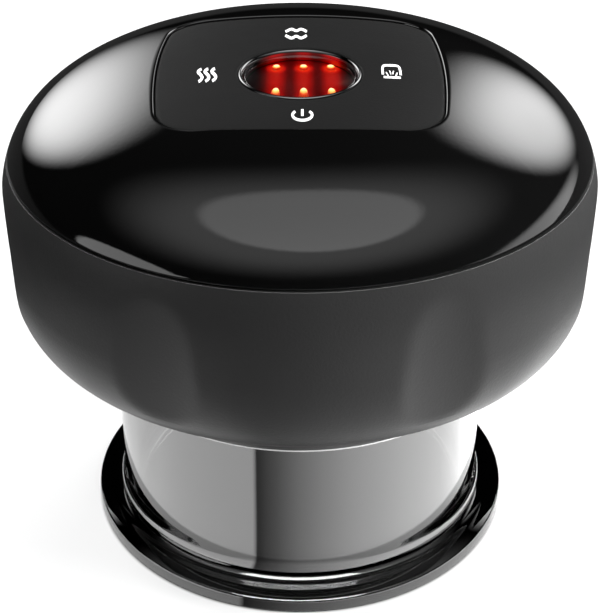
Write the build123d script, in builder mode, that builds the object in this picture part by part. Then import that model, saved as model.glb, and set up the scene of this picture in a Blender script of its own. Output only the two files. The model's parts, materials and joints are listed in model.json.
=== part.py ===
from build123d import *
from math import cos, hypot, pi, sin, sqrt
import os

os.makedirs("parts", exist_ok=True)

# Outer form: a squashed dome over a rounded belly, standing on the rim of its cup
body_radius = 43.7
belly_height = 31.8
belly_radius = 12.0
belly_rise = 19.5
belly_power = 3.9
crown_rise = 22.9
crown_power = 3.05
shell_wall = 2.2
curve_steps = 12
overrun = 2.0
waist_height = belly_height + belly_rise
crown_height = waist_height + crown_rise
floor_top = belly_height + shell_wall

# Seam between the glossy cover and the matte body
seam_rise = 10.3
seam_gap = 0.3
lip_depth = 2.0
lip_wall = 1.0
lip_clearance = 0.3
fit_gap = 0.1
edge_round = 0.3
snap_count = 6
snap_width = 7.0
snap_wall = 1.1
snap_length = 3.3
snap_catch = 0.8
snap_reach = 1.2
seam_height = waist_height + seam_rise
cover_edge = seam_height + seam_gap / 2
body_edge = seam_height - seam_gap / 2

# Finger grips: seven places round the body, the rear one given to the charging port
grip_places = 7
grip_drop = 1.8
grip_depth = 1.0
grip_scoop_radius = 27.0
grip_scoop_length = 34.0
grip_lean = 2.7
grip_height = waist_height - grip_drop

# Control panel let into the top of the cover
panel_half_width = 20.3
panel_half_depth = 19.9
panel_forward = 0.5
panel_bow = 1.4
panel_corner = 6.5
panel_wall = 1.302
panel_sink = 0.3
panel_bevel = 0.35
panel_gap = 0.15
ledge_wall = 1.8
ledge_width = 3.6

# Round display window in the panel, with six lamps under it
window_radius = 8.7
window_forward = 3.3
bezel_wall = 0.7
bezel_ledge = 0.5
bezel_floor = 0.7
bezel_bevel = 0.3
window_gap = 0.05
lens_bevel = 0.2
window_thickness = 1.2
lamp_columns = 3
lamp_rows = 2
lamp_pitch_across = 3.8
lamp_pitch_along = 7.6
lamp_side_shift = 0.5
lamp_back = 1.0
lamp_radius = 0.65
lamp_height = 2.3
lamp_round = 0.5
lamp_well_gap = 0.15
guide_gap = 0.1
display_board_thickness = 1.0
display_board_margin = 0.8
touch_pad_radius = 1.5
touch_side = 13.4
touch_front = 14.6
touch_back = 13.2

# Main circuit board under the display board
board_clearance = 4.0
board_drop = 7.4
board_thickness = 1.2
board_screw_inset = 5.0
board_screw_count = 4
post_radius = 2.75
screw_radius = 1.0
screw_head_radius = 1.9
screw_head_height = 1.2
screw_length = 4.0
header_width = 14.0
header_depth = 4.0
header_back = 16.5
chip_height = 1.4
chip_side = 7.0
inductor_side = 5.0
inductor_height = 2.8
chip_circle = 22.0
chip_back = 8.0

# Clear cup with a flared rim, held on a spigot under the body
cup_radius = 28.6
cup_wall = 2.0
cup_head_gap = 0.3
cup_rim_reach = 4.3
cup_rim_height = 2.4
cup_rim_rise = 0.6
cup_rim_shelf = 1.5
cup_flare_height = 6.3
cup_edge_round = 0.5
cup_lip_round = 0.8
cup_bore = cup_radius - cup_wall
cup_rim_radius = cup_radius + cup_rim_reach

# Base: collar, spigot and filter chamber moulded in one
collar_wall = 1.6
collar_drop = 4.0
collar_rise = 1.0
collar_round = 0.5
cup_slot_gap = 0.3
cup_stop_wall = 1.4
spigot_gap = 0.7
spigot_drop = 6.3
spigot_wall = 1.5
base_ceiling = 1.8
base_ledge = 1.5
seal_height = 2.0
seal_rise = 2.1
seal_depth = 0.7
seal_running_gap = 0.05
chamber_radius = 7.0
chamber_wall = 1.2
chamber_rise = 1.0
base_screw_inset = 5.4
base_screw_count = 4
base_post_circle = 13.0
base_post_count = 3
base_post_radius = 1.8
base_post_bearing = 30
collar_radius = cup_radius + cup_slot_gap + collar_wall
collar_bottom = belly_height - collar_drop
cup_stop_height = belly_height - cup_stop_wall
cup_top = cup_stop_height - cup_head_gap
spigot_radius = cup_bore - spigot_gap
spigot_bottom = belly_height - spigot_drop
base_screw_circle = spigot_radius - base_screw_inset
seal_bottom = spigot_bottom + seal_rise
chamber_bottom = spigot_bottom + chamber_rise
ceiling_bottom = belly_height - base_ceiling

# Air line: everything on it stands in one upright plane behind the pump
air_line_back = 5.0
barb_radius = 1.5
barb_bore = 0.8
barb_length = 4.6
barb_ridge = 0.25
hose_radius = 2.1
hose_bore = 1.55
hose_bend = 5.0
tee_radius = 2.3

# Warm plate and lamps that face the skin
heater_gap = 0.15
heater_thickness = 0.8
heater_film_thickness = 0.3
heater_film_gap = 0.3
therapy_circle = 14.0
therapy_count = 6
therapy_radius = 1.5
therapy_hole_gap = 0.2
therapy_recess = 0.2
light_board_inner = 8.8
light_board_outer = 17.4
light_board_thickness = 1.0
light_board_gap = 1.0
sensor_circle = 20.0
sensor_radius = 0.8
sensor_length = 3.6
spigot_inner = spigot_radius - spigot_wall
heater_radius = spigot_inner - heater_gap
heater_film_radius = spigot_inner - base_ledge - heater_film_gap
plate_top = spigot_bottom + heater_thickness
film_top = plate_top + heater_film_thickness
light_board_bottom = film_top + light_board_gap
light_board_top = light_board_bottom + light_board_thickness

# Filter cap that pulls out of the warm plate
cap_radius = 7.45
cap_thickness = 0.8
cap_proud = 0.25
cap_skirt_gap = 0.1
cap_skirt_wall = 0.9
cap_skirt_height = 1.9
cap_slot_width = 1.2
cap_slot_pitch = 2.6
cap_slot_count = 3
cap_slot_share = 0.68
sponge_gap = 0.1
sponge_height = 2.4

# Pump lying across the body
pump_rise = 14.05
pump_forward = 13.0
can_radius = 12.2
can_wall = 0.8
can_back = -28.0
can_front = 1.2
shaft_radius = 1.15
bush_radius = 2.6
bush_length = 2.4
bush_gap = 0.02
end_cap_thickness = 2.4
terminal_spread = 5.0
terminal_width = 2.0
terminal_thickness = 0.5
terminal_reach = 2.5
magnet_wall = 2.0
magnet_length = 18.0
magnet_arc = 130.0
air_gap = 0.4
armature_length = 16.0
armature_back = -20.0
armature_hub = 3.6
pole_count = 3
pole_neck = 2.6
pole_shoe_wall = 1.6
pole_shoe_arc = 96.0
winding_wall = 1.9
winding_overhang = 1.4
commutator_radius = 2.9
commutator_length = 2.4
commutator_slot = 0.4
damper_wall = 1.0
damper_width = 4.0
damper_first = -16.5
damper_pitch = 10.0
damper_centres = (damper_first, damper_first + damper_pitch)
pump_height = floor_top + pump_rise

# Pump head in front of the motor
head_radius = 13.5
head_wall = 1.5
crankcase_length = 13.8
head_floor = 1.4
crank_radius = 5.6
crank_length = 5.7
crank_start = 3.0
shaft_back = -27.4
shaft_front = 6.1
pin_radius = 0.8
pin_throw = 2.4
pin_back = 6.3
pin_tip = 13.4
wobble_hub_radius = 3.6
wobble_start = 10.6
wobble_end = 14.0
wobble_thickness = 1.3
wobble_pocket_gap = 0.3
arm_count = 3
arm_circle = 7.4
arm_width = 4.2
stem_radius = 0.9
diaphragm_web = 1.2
bell_radius = 3.4
bell_height = 1.6
valve_plate_thickness = 3.6
chamber_depth = 1.6
port_radius = 0.8
head_cover_thickness = 3.6
plenum_depth = 1.6
head_screw_circle = 11.0
head_boss_radius = 2.0
head_screw_reach = 15.0
plenum_radius = 9.4
head_screw_count = 3
head_screw_radius = 0.8
head_screw_head = 1.5

# Moulded chassis that carries pump, valve and cell
chassis_thickness = 1.4
chassis_radius = 28.6
saddle_drop = 5.8
saddle_half_width = 18.0
strap_wall = 1.0
strap_screw_side = 16.0
saddle_height = pump_height - saddle_drop
chassis_top = floor_top + chassis_thickness

# Release valve, an upright solenoid
valve_side = -24.0
valve_half = 4.5
valve_body_height = 10.6
valve_sheet = 0.8
coil_radius = 3.5
coil_bore = 1.65
plunger_radius = 1.55
plunger_travel = 0.8
plunger_rise = 0.4
spring_radius = 1.1
spring_wire = 0.2
spring_turns = 4
valve_head_height = 4.4
seat_radius = 2.6
seat_gap = 0.05
valve_flange = 1.0
valve_foot = chassis_top

# Lithium cell standing behind the air line
cell_width = 46.0
cell_depth = 8.6
cell_height = 21.0
cell_front = 14.2
cell_round = 2.0
lead_radius = 0.6
lead_spread = 3.0
base_lead_radius = 0.9
base_lead_side = -3.4
base_lead_back = 8.6

# Charging port at the rear
port_rise = 12.6
socket_width = 8.94
socket_height = 3.26
socket_wall = 0.3
socket_depth = 7.3
socket_setback = 0.6
socket_gap = 0.2
port_recess_width = 12.6
port_recess_height = 6.8
port_recess_depth = 1.1
tongue_width = 6.7
tongue_height = 0.7
tongue_length = 5.2
charge_board_width = 16.0
charge_board_depth = 15.0
charge_board_thickness = 1.0
charge_post_side = 5.4
charge_post_inset = 7.0
port_height = floor_top + port_rise
port_recess_floor = body_radius - port_recess_depth
socket_mouth = port_recess_floor - socket_setback
socket_back = socket_mouth - socket_depth
charge_post_back = socket_back - charge_post_inset


def superellipse(reach, rise, power, inset_reach=0.0, inset_rise=0.0):
    """Points of a quarter superellipse, from its side to its end."""
    reach, rise = reach - inset_reach, rise - inset_rise
    turns = [step * pi / 2 / curve_steps for step in range(curve_steps + 1)]
    return [(reach * abs(cos(t)) ** (2 / power), rise * abs(sin(t)) ** (2 / power)) for t in turns]


def crown_radius(height, inset=0.0):
    """Radius of the dome at a height above its waist."""
    share = (height - waist_height) / (crown_rise - inset)
    return (body_radius - inset) * (1 - share**crown_power) ** (1 / crown_power)


def crown_level(radius, inset=0.0):
    """Height of the dome at a distance from its axis."""
    share = radius / (body_radius - inset)
    return waist_height + (crown_rise - inset) * (1 - share**crown_power) ** (1 / crown_power)


# Levels that follow: the panel's floor keeps its wall under the lowest corner of the dome there
corner_cut = panel_corner * (1 - 1 / sqrt(2))
corner_side = panel_half_width - panel_bow - corner_cut
corner_front = panel_half_depth - panel_bow - corner_cut + panel_forward
panel_floor = crown_level(hypot(corner_side, corner_front)) - panel_wall
panel_depth = crown_height - panel_floor
ceiling = panel_floor - ledge_wall
display_board_bottom = ceiling - display_board_thickness
board_height = ceiling - board_drop
board_top = board_height + board_thickness
head_start = can_front
crankcase_end = head_start + crankcase_length
valve_plate_start = crankcase_end + diaphragm_web
cover_start = valve_plate_start + valve_plate_thickness
cover_end = cover_start + head_cover_thickness


def body_section(inset, low, high):
    """Half section of the whole outer form, inset from its outside and cut at two heights."""
    crown = superellipse(body_radius, crown_rise, crown_power, inset, inset)
    belly = superellipse(body_radius - belly_radius, belly_rise, belly_power, inset, inset)
    crown_line = [(r, waist_height + z) for r, z in crown]
    belly_line = [(belly_radius + r, waist_height - z) for r, z in belly]
    with BuildSketch(Plane.XZ) as section:
        with BuildLine():
            Spline(*crown_line, tangents=((0, 1), (-1, 0)))
            Spline(*belly_line, tangents=((0, -1), (-1, 0)))
            Polyline(belly_line[-1], (0, belly_line[-1][1]), (0, crown_line[-1][1]))
        make_face()
        with Locations((0, low)):
            Rectangle(body_radius, high - low, align=(Align.MIN, Align.MIN), mode=Mode.INTERSECT)
    return section.sketch


def bowed_square(half_width, half_depth, height):
    """Rounded square of the control panel, its four sides bowed outwards."""
    side, end = half_width - panel_bow, half_depth - panel_bow
    with BuildSketch(Plane.XY.offset(height)) as shape:
        with BuildLine():
            with Locations((0, -panel_forward)):
                ThreePointArc((side, -end), (half_width, 0), (side, end))
                ThreePointArc((side, end), (0, half_depth), (-side, end))
                ThreePointArc((-side, end), (-half_width, 0), (-side, -end))
                ThreePointArc((-side, -end), (0, -half_depth), (side, -end))
        make_face()
        fillet(shape.vertices(), panel_corner)
    return shape.sketch


def turned(points, plane=Plane.XZ):
    """Closed polygon of (radius, height) points, ready to revolve."""
    with BuildSketch(plane) as section:
        with BuildLine():
            Polyline(*points, close=True)
        make_face()
    return section.sketch


def lying(x):
    """Plane across the pump's axis at a distance along it, with up as its first direction."""
    return Plane(origin=(x, -pump_forward, pump_height), x_dir=(0, 0, 1), z_dir=(1, 0, 0))


def lying_section(points):
    """Polygon of (distance along, radius) points, revolved about the pump's axis."""
    axis_plane = Plane(origin=(0, -pump_forward, pump_height), x_dir=(1, 0, 0), z_dir=(0, -1, 0))
    return turned(points, axis_plane)


pump_axis = Axis((0, -pump_forward, pump_height), (1, 0, 0))


def ring_of(count, circle, turn=0.0):
    """Places at equal steps on a circle about the upright axis."""
    return PolarLocations(circle, count, start_angle=turn)


def screw(length):
    """Pan-headed screw pointing up, its head's bearing face at zero."""
    with BuildPart() as one:
        Cylinder(screw_radius, length, align=(Align.CENTER, Align.CENTER, Align.MIN))
        Cylinder(
            screw_head_radius,
            screw_head_height,
            align=(Align.CENTER, Align.CENTER, Align.MAX),
        )
        chamfer(one.edges().group_by(Axis.Z)[0], screw_head_height / 4)
    return one.part


upright = (Align.CENTER, Align.CENTER, Align.MIN)
hanging = (Align.CENTER, Align.CENTER, Align.MAX)
nodes = {}


def keep(name, builder):
    """Label a finished piece and write it."""
    builder.part.label = name
    export_step(builder.part, f"parts/{name}.step")
    nodes[name] = builder.part


# Top cover: glossy dome with a ledge for the panel, a lip and snap hooks
lip_inner = crown_radius(cover_edge, shell_wall) + lip_clearance
board_radius = lip_inner - board_clearance
board_screw_circle = board_radius - board_screw_inset
lip_outer = lip_inner + lip_wall
lip_bottom = cover_edge - lip_depth
snap_bottom = lip_bottom - snap_length
snap_outer = lip_outer - lip_wall / 2
hook_tip = snap_outer + snap_reach
hook = [
    (snap_outer - snap_wall, cover_edge),
    (snap_outer - snap_wall, snap_bottom),
    (snap_outer, snap_bottom),
    (hook_tip, snap_bottom + snap_catch / 2),
    (hook_tip, snap_bottom + snap_catch),
    (snap_outer, snap_bottom + snap_catch),
    (snap_outer, cover_edge),
]
with BuildPart() as top_cover:
    revolve(body_section(0, cover_edge, crown_height), axis=Axis.Z)
    chamfer(top_cover.edges().group_by(Axis.Z)[0], edge_round)
    revolve(body_section(shell_wall, belly_height, ceiling), axis=Axis.Z, mode=Mode.SUBTRACT)
    with BuildSketch(Plane.XY.offset(lip_bottom)):
        Circle(lip_outer)
        Circle(lip_inner, mode=Mode.SUBTRACT)
    extrude(amount=lip_depth + edge_round * 2)
    extrude(
        bowed_square(panel_half_width + panel_gap, panel_half_depth + panel_gap, panel_floor),
        amount=panel_depth + overrun,
        dir=(0, 0, 1),
        mode=Mode.SUBTRACT,
    )
    opening = bowed_square(panel_half_width - ledge_width, panel_half_depth - ledge_width, ceiling - overrun)
    extrude(opening, amount=panel_depth + overrun * 2, dir=(0, 0, 1), mode=Mode.SUBTRACT)
    for index in range(snap_count):
        with BuildSketch(Plane.XZ.rotated((0, 0, 360 * index / snap_count))):
            with BuildLine():
                Polyline(*hook, close=True)
            make_face()
        extrude(amount=snap_width / 2, both=True)
    with Locations((0, 0, board_top)):
        with ring_of(board_screw_count, board_screw_circle, 45):
            Cylinder(post_radius, ceiling - board_top - ledge_wall / 2, align=upright)
            Cylinder(screw_radius, ledge_wall * 2, align=upright, mode=Mode.SUBTRACT)
keep("top_cover", top_cover)

# Control panel: matte tray lid flush in the dome, with a bevelled edge
with BuildPart() as control_panel:
    extrude(bowed_square(panel_half_width, panel_half_depth, panel_floor), amount=panel_depth, dir=(0, 0, 1))
    with Locations((0, -window_forward, panel_floor)):
        Cylinder(window_radius + window_gap, panel_depth, align=upright, mode=Mode.SUBTRACT)
    revolve(body_section(panel_sink, belly_height, crown_height), axis=Axis.Z, mode=Mode.INTERSECT)
    chamfer(control_panel.faces().sort_by(Axis.Z)[-1].outer_wire().edges(), panel_bevel)
keep("control_panel", control_panel)

# Window bezel: bright ring with a ledge for the lens
window_plane = Plane.XZ.offset(window_forward)
bezel_top = crown_height - panel_sink
bezel_inner = window_radius - bezel_wall
ledge_inner = bezel_inner - bezel_ledge
window_axis = Axis((0, -window_forward, 0), (0, 0, 1))
bezel_outline = [
    (ledge_inner, panel_floor),
    (window_radius, panel_floor),
    (window_radius, bezel_top),
    (bezel_inner + bezel_bevel, bezel_top),
    (bezel_inner, bezel_top - bezel_bevel),
    (bezel_inner, panel_floor + bezel_floor),
    (ledge_inner, panel_floor + bezel_floor),
]
with BuildPart() as window_bezel:
    revolve(turned(bezel_outline, window_plane), axis=window_axis)
keep("window_bezel", window_bezel)

# Display window: smoked lens
with BuildPart() as display_window:
    with Locations((0, -window_forward, panel_floor + bezel_floor)):
        Cylinder(bezel_inner - window_gap, window_thickness, align=upright)
    chamfer(display_window.edges().group_by(Axis.Z)[-1], lens_bevel)
keep("display_window", display_window)

# Light guide: block with a well round each lamp
lamp_middle = (lamp_side_shift, lamp_back - window_forward, ceiling)
guide_height = panel_floor - guide_gap - ceiling
with BuildPart() as light_guide:
    with Locations((0, -window_forward, ceiling)):
        Cylinder(ledge_inner - guide_gap, guide_height, align=upright)
    with BuildSketch(Plane(lamp_middle)):
        with GridLocations(lamp_pitch_across, lamp_pitch_along, lamp_columns, lamp_rows):
            Circle(lamp_radius + lamp_well_gap)
    extrude(amount=guide_height, mode=Mode.SUBTRACT)
keep("light_guide", light_guide)

# Display lamps: six small round-topped lamps in two rows
with BuildPart() as display_leds:
    with Locations(lamp_middle):
        with GridLocations(lamp_pitch_across, lamp_pitch_along, lamp_columns, lamp_rows):
            Cylinder(lamp_radius, lamp_height, align=upright)
    fillet(display_leds.edges().group_by(Axis.Z)[-1], lamp_round)
keep("display_leds", display_leds)

# Display board: rounded square board screwed under the cover's ledge
display_board_side = panel_half_width - display_board_margin
display_board_end = panel_half_depth - display_board_margin
with BuildPart() as display_board:
    extrude(
        bowed_square(display_board_side, display_board_end, ceiling),
        amount=-display_board_thickness,
        dir=(0, 0, 1),
    )
keep("display_board", display_board)

# Touch pads: soft conductive cushions from the board up to the panel's back
touch_places = [
    (touch_side, -window_forward),
    (-touch_side, -window_forward),
    (0, touch_back),
    (0, -touch_front),
]
with BuildPart() as touch_pads:
    for across, along in touch_places:
        with Locations((across, along, ceiling)):
            Cylinder(touch_pad_radius, panel_floor - ceiling, align=upright)
keep("touch_pads", touch_pads)

# Board header: pin strip that joins the two boards
with BuildPart() as board_header:
    with Locations((0, header_back, board_top)):
        Box(header_width, header_depth, display_board_bottom - board_top, align=upright)
    chamfer(board_header.edges().filter_by(Axis.Z), header_depth / 8)
keep("board_header", board_header)

# Main board: round board with a flat at each side and screw holes
with BuildPart() as main_board:
    with BuildSketch(Plane.XY.offset(board_height)):
        Circle(board_radius)
        Rectangle(board_radius * 2, board_radius * 2 - post_radius * 2, mode=Mode.INTERSECT)
        with ring_of(board_screw_count, board_screw_circle, 45):
            Circle(screw_radius + fit_gap, mode=Mode.SUBTRACT)
    extrude(amount=board_thickness)
keep("main_board", main_board)

# Chips: controller, charger and two inductors on the board
with BuildPart() as board_chips:
    with Locations((-chip_circle, -chip_back, board_top), (chip_circle / 2, -chip_back, board_top)):
        Box(chip_side, chip_side, chip_height, align=upright)
    with Locations((chip_circle, chip_back, board_top), (chip_circle, -chip_back, board_top)):
        Box(inductor_side, inductor_side, inductor_height, align=upright)
        fillet(board_chips.edges(Select.LAST).filter_by(Axis.Z), inductor_side / 5)
keep("board_chips", board_chips)

# Body shell: matte lower housing with finger grips and the port opening
rebate_radius = lip_outer + fit_gap
rebate_bottom = lip_bottom - fit_gap * 2
catch_low = snap_bottom - fit_gap
groove_radius = hook_tip + fit_gap * 2
port_plane = Plane((0, port_recess_floor, port_height), x_dir=(-1, 0, 0), z_dir=(0, 1, 0))
grip_step = 360 / grip_places
grip_reach = body_radius - grip_depth + grip_scoop_radius
with BuildPart() as body_shell:
    revolve(body_section(0, belly_height, body_edge), axis=Axis.Z)
    revolve(body_section(shell_wall, belly_height, body_edge), axis=Axis.Z, mode=Mode.SUBTRACT)
    with Locations((0, 0, rebate_bottom)):
        Cylinder(rebate_radius, body_edge - rebate_bottom, align=upright, mode=Mode.SUBTRACT)
    with Locations((0, 0, catch_low)):
        Cylinder(groove_radius, snap_catch + fit_gap * 2, align=upright, mode=Mode.SUBTRACT)
    with Locations((0, 0, belly_height)):
        Cylinder(chamber_radius + ledge_width, shell_wall, align=upright, mode=Mode.SUBTRACT)
        with ring_of(base_screw_count, base_screw_circle, 45):
            Cylinder(screw_radius, shell_wall, align=upright, mode=Mode.SUBTRACT)
    with Locations((0, 0, grip_height)):
        with PolarLocations(grip_reach, grip_places - 1, 90 + grip_step, 360 - grip_step, endpoint=False):
            Cylinder(grip_scoop_radius, grip_scoop_length, rotation=(0, grip_lean, 0), mode=Mode.SUBTRACT)
    with BuildSketch(port_plane):
        SlotOverall(port_recess_width, port_recess_height)
    extrude(amount=overrun, mode=Mode.SUBTRACT)
    with BuildSketch(port_plane):
        SlotOverall(socket_width + socket_gap * 2, socket_height + socket_gap * 2)
    extrude(amount=overrun + shell_wall, both=True, mode=Mode.SUBTRACT)
    board_seat = port_height - socket_height / 2 - charge_board_thickness
    with Locations(*[(side * charge_post_side, charge_post_back, floor_top) for side in (-1, 1)]):
        Cylinder(post_radius, board_seat - floor_top, align=upright)
keep("body_shell", body_shell)

# Base: disc, collar and spigot in one moulding, with the filter chamber and its barb
base_outline = [
    (0, ceiling_bottom),
    (spigot_inner - base_ledge, ceiling_bottom),
    (spigot_inner - base_ledge, plate_top),
    (spigot_inner, plate_top),
    (spigot_inner, spigot_bottom),
    (spigot_radius, spigot_bottom),
    (spigot_radius, seal_bottom),
    (spigot_radius - seal_depth, seal_bottom),
    (spigot_radius - seal_depth, seal_bottom + seal_height),
    (spigot_radius, seal_bottom + seal_height),
    (spigot_radius, cup_stop_height),
    (cup_radius + cup_slot_gap, cup_stop_height),
    (cup_radius + cup_slot_gap, collar_bottom),
    (collar_radius, collar_bottom),
    (collar_radius, belly_height + collar_rise),
    (0, belly_height + collar_rise),
]
with BuildPart() as base_plate:
    revolve(turned(base_outline), axis=Axis.Z)
    collar_edges = base_plate.edges().filter_by(GeomType.CIRCLE).sort_by(SortBy.RADIUS)[-2:]
    fillet(collar_edges.sort_by(Axis.Z)[0], collar_round)
    revolve(body_section(-fit_gap / 2, belly_height, crown_height), axis=Axis.Z, mode=Mode.SUBTRACT)
    with BuildSketch(Plane.XY.offset(ceiling_bottom)):
        Circle(chamber_radius + chamber_wall)
        Circle(chamber_radius, mode=Mode.SUBTRACT)
    extrude(amount=chamber_bottom - ceiling_bottom)
    with Locations((0, 0, light_board_top)):
        with ring_of(base_post_count, base_post_circle, base_post_bearing):
            Cylinder(base_post_radius, ceiling_bottom - light_board_top, align=upright)
    barb_outline = [
        (0, belly_height),
        (barb_radius, belly_height),
        (barb_radius, belly_height + barb_length - barb_ridge * 4),
        (barb_radius - barb_ridge, belly_height + barb_length),
        (0, belly_height + barb_length),
    ]
    revolve(
        turned(barb_outline, Plane.XZ.offset(-air_line_back)),
        axis=Axis((0, air_line_back, 0), (0, 0, 1)),
    )
    with Locations((0, air_line_back, ceiling_bottom)):
        Cylinder(barb_bore, base_ceiling + barb_length, align=upright, mode=Mode.SUBTRACT)
    with Locations((base_lead_side, base_lead_back, ceiling_bottom)):
        Cylinder(base_lead_radius + fit_gap, base_ceiling, align=upright, mode=Mode.SUBTRACT)
    with Locations((0, 0, ceiling_bottom)):
        with ring_of(base_screw_count, base_screw_circle, 45):
            Cylinder(screw_radius, base_ceiling, align=upright, mode=Mode.SUBTRACT)
keep("base_plate", base_plate)

# Cup seal: soft ring with two lips that wipe the cup's bore
seal_root = spigot_radius - seal_depth
seal_tip = cup_bore - seal_running_gap
seal_land = spigot_radius + fit_gap
seal_outline = [
    (seal_root, seal_bottom),
    (seal_land, seal_bottom),
    (seal_tip, seal_bottom + seal_height / 4),
    (seal_land, seal_bottom + seal_height / 2),
    (seal_tip, seal_bottom + seal_height * 3 / 4),
    (seal_land, seal_bottom + seal_height),
    (seal_root, seal_bottom + seal_height),
]
with BuildPart() as cup_seal:
    revolve(turned(seal_outline), axis=Axis.Z)
keep("cup_seal", cup_seal)

# Suction cup: clear cylinder that flares into a flat rim
rim_top = cup_rim_height + cup_rim_rise
with BuildPart() as suction_cup:
    with BuildSketch(Plane.XZ):
        with BuildLine():
            bore = Line((cup_bore, cup_lip_round), (cup_bore, cup_top))
            Line(bore @ 1, (cup_radius, cup_top))
            wall = Line((cup_radius, cup_top), (cup_radius, cup_flare_height))
            flare = Bezier(
                wall @ 1,
                (cup_radius, rim_top + cup_rim_rise),
                (cup_radius + cup_rim_rise, rim_top),
                (cup_rim_radius - cup_rim_shelf, rim_top),
            )
            Polyline(
                flare @ 1,
                (cup_rim_radius, cup_rim_height),
                (cup_rim_radius, 0),
                (cup_bore + cup_lip_round, 0),
            )
            RadiusArc((cup_bore + cup_lip_round, 0), (cup_bore, cup_lip_round), cup_lip_round)
        make_face()
    revolve(axis=Axis.Z)
    rim_edges = suction_cup.edges().filter_by(GeomType.CIRCLE).sort_by(SortBy.RADIUS)[-2:]
    fillet(rim_edges, cup_edge_round)
keep("suction_cup", suction_cup)

# Warm plate with its film, the lamp ring and the temperature sensor
lamp_hole = therapy_radius + therapy_hole_gap
with BuildPart() as heater_plate:
    with BuildSketch(Plane.XY.offset(spigot_bottom)):
        Circle(heater_radius)
        Circle(cap_radius + fit_gap, mode=Mode.SUBTRACT)
        with ring_of(therapy_count, therapy_circle):
            Circle(lamp_hole, mode=Mode.SUBTRACT)
    extrude(amount=heater_thickness)
    chamfer(heater_plate.edges().group_by(Axis.Z)[0].sort_by(SortBy.RADIUS)[-1], edge_round)
keep("heater_plate", heater_plate)

with BuildPart() as heater_film:
    with BuildSketch(Plane.XY.offset(plate_top)):
        Circle(heater_film_radius)
        Circle(chamber_radius + chamber_wall + fit_gap, mode=Mode.SUBTRACT)
        with ring_of(therapy_count, therapy_circle):
            Circle(lamp_hole, mode=Mode.SUBTRACT)
    extrude(amount=heater_film_thickness)
keep("heater_film", heater_film)

with BuildPart() as temperature_sensor:
    with Locations((0, sensor_circle, film_top + sensor_radius)):
        Cylinder(sensor_radius, sensor_length, rotation=(0, 90, 0))
    chamfer(temperature_sensor.edges().filter_by(GeomType.CIRCLE), sensor_radius / 2)
keep("temperature_sensor", temperature_sensor)

with BuildPart() as light_board:
    with BuildSketch(Plane.XY.offset(light_board_bottom)):
        Circle(light_board_outer)
        Circle(light_board_inner, mode=Mode.SUBTRACT)
    extrude(amount=light_board_thickness)
keep("light_board", light_board)

with BuildPart() as therapy_leds:
    with Locations((0, 0, light_board_bottom)):
        with ring_of(therapy_count, therapy_circle):
            Cylinder(therapy_radius, light_board_bottom - spigot_bottom - therapy_recess, align=hanging)
    chamfer(therapy_leds.edges().group_by(Axis.Z)[0], therapy_radius / 2)
keep("therapy_leds", therapy_leds)

# Filter cap: slotted disc with a skirt that grips the chamber, holding the sponge
skirt_outer = chamber_radius - cap_skirt_gap
skirt_inner = skirt_outer - cap_skirt_wall
cap_bottom = spigot_bottom - cap_proud
cap_back = cap_bottom + cap_thickness
with BuildPart() as filter_cap:
    with Locations((0, 0, cap_bottom)):
        Cylinder(cap_radius, cap_thickness, align=upright)
    chamfer(filter_cap.edges().group_by(Axis.Z)[0], edge_round)
    with BuildSketch(Plane.XY.offset(cap_back)):
        Circle(skirt_outer)
        Circle(skirt_inner, mode=Mode.SUBTRACT)
    extrude(amount=cap_skirt_height)
    with BuildSketch(Plane.XY.offset(cap_bottom)):
        with GridLocations(0, cap_slot_pitch, 1, cap_slot_count):
            SlotOverall(skirt_inner * 2 * cap_slot_share, cap_slot_width)
    extrude(amount=cap_thickness, mode=Mode.SUBTRACT)
keep("filter_cap", filter_cap)

with BuildPart() as filter_sponge:
    with Locations((0, 0, cap_back)):
        Cylinder(skirt_inner - sponge_gap, sponge_height, align=upright)
keep("filter_sponge", filter_sponge)

# Chassis: floor plate with two motor saddles, a pocket for the cell and a seat for the valve
cell_back = cell_front + cell_depth
pocket_wall = chassis_thickness
with BuildPart() as inner_chassis:
    with BuildSketch(Plane.XY.offset(floor_top)):
        Circle(chassis_radius)
        Circle(chamber_radius + ledge_width, mode=Mode.SUBTRACT)
        with Locations((charge_post_side, charge_post_back), (-charge_post_side, charge_post_back)):
            Circle(post_radius + fit_gap * 2, mode=Mode.SUBTRACT)
    extrude(amount=chassis_thickness)
    for centre in damper_centres:
        with Locations((centre, -pump_forward, floor_top)):
            Box(damper_width, saddle_half_width * 2, saddle_height - floor_top, align=upright)
    with Locations((0, (cell_front + cell_back) / 2, floor_top)):
        Box(
            cell_width + pocket_wall * 2,
            cell_depth + pocket_wall * 2,
            chassis_thickness * 4,
            align=upright,
        )
    with Locations((0, (cell_front + cell_back) / 2, chassis_top)):
        Box(
            cell_width + fit_gap * 2,
            cell_depth + fit_gap * 2,
            cell_height,
            align=upright,
            mode=Mode.SUBTRACT,
        )
    with BuildSketch(lying(can_back - overrun)):
        Circle(can_radius + damper_wall)
    extrude(amount=can_front - can_back + overrun, mode=Mode.SUBTRACT)
    with BuildSketch(lying(head_start)):
        Circle(head_radius + fit_gap * 2)
    extrude(amount=cover_end - head_start + overrun, mode=Mode.SUBTRACT)
    for centre in damper_centres:
        with Locations((centre, -pump_forward, saddle_height)):
            with GridLocations(0, strap_screw_side * 2, 1, 2):
                Cylinder(screw_radius, screw_length, align=hanging, mode=Mode.SUBTRACT)
    revolve(body_section(shell_wall + fit_gap, floor_top, ceiling), axis=Axis.Z, mode=Mode.INTERSECT)
keep("inner_chassis", inner_chassis)

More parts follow.
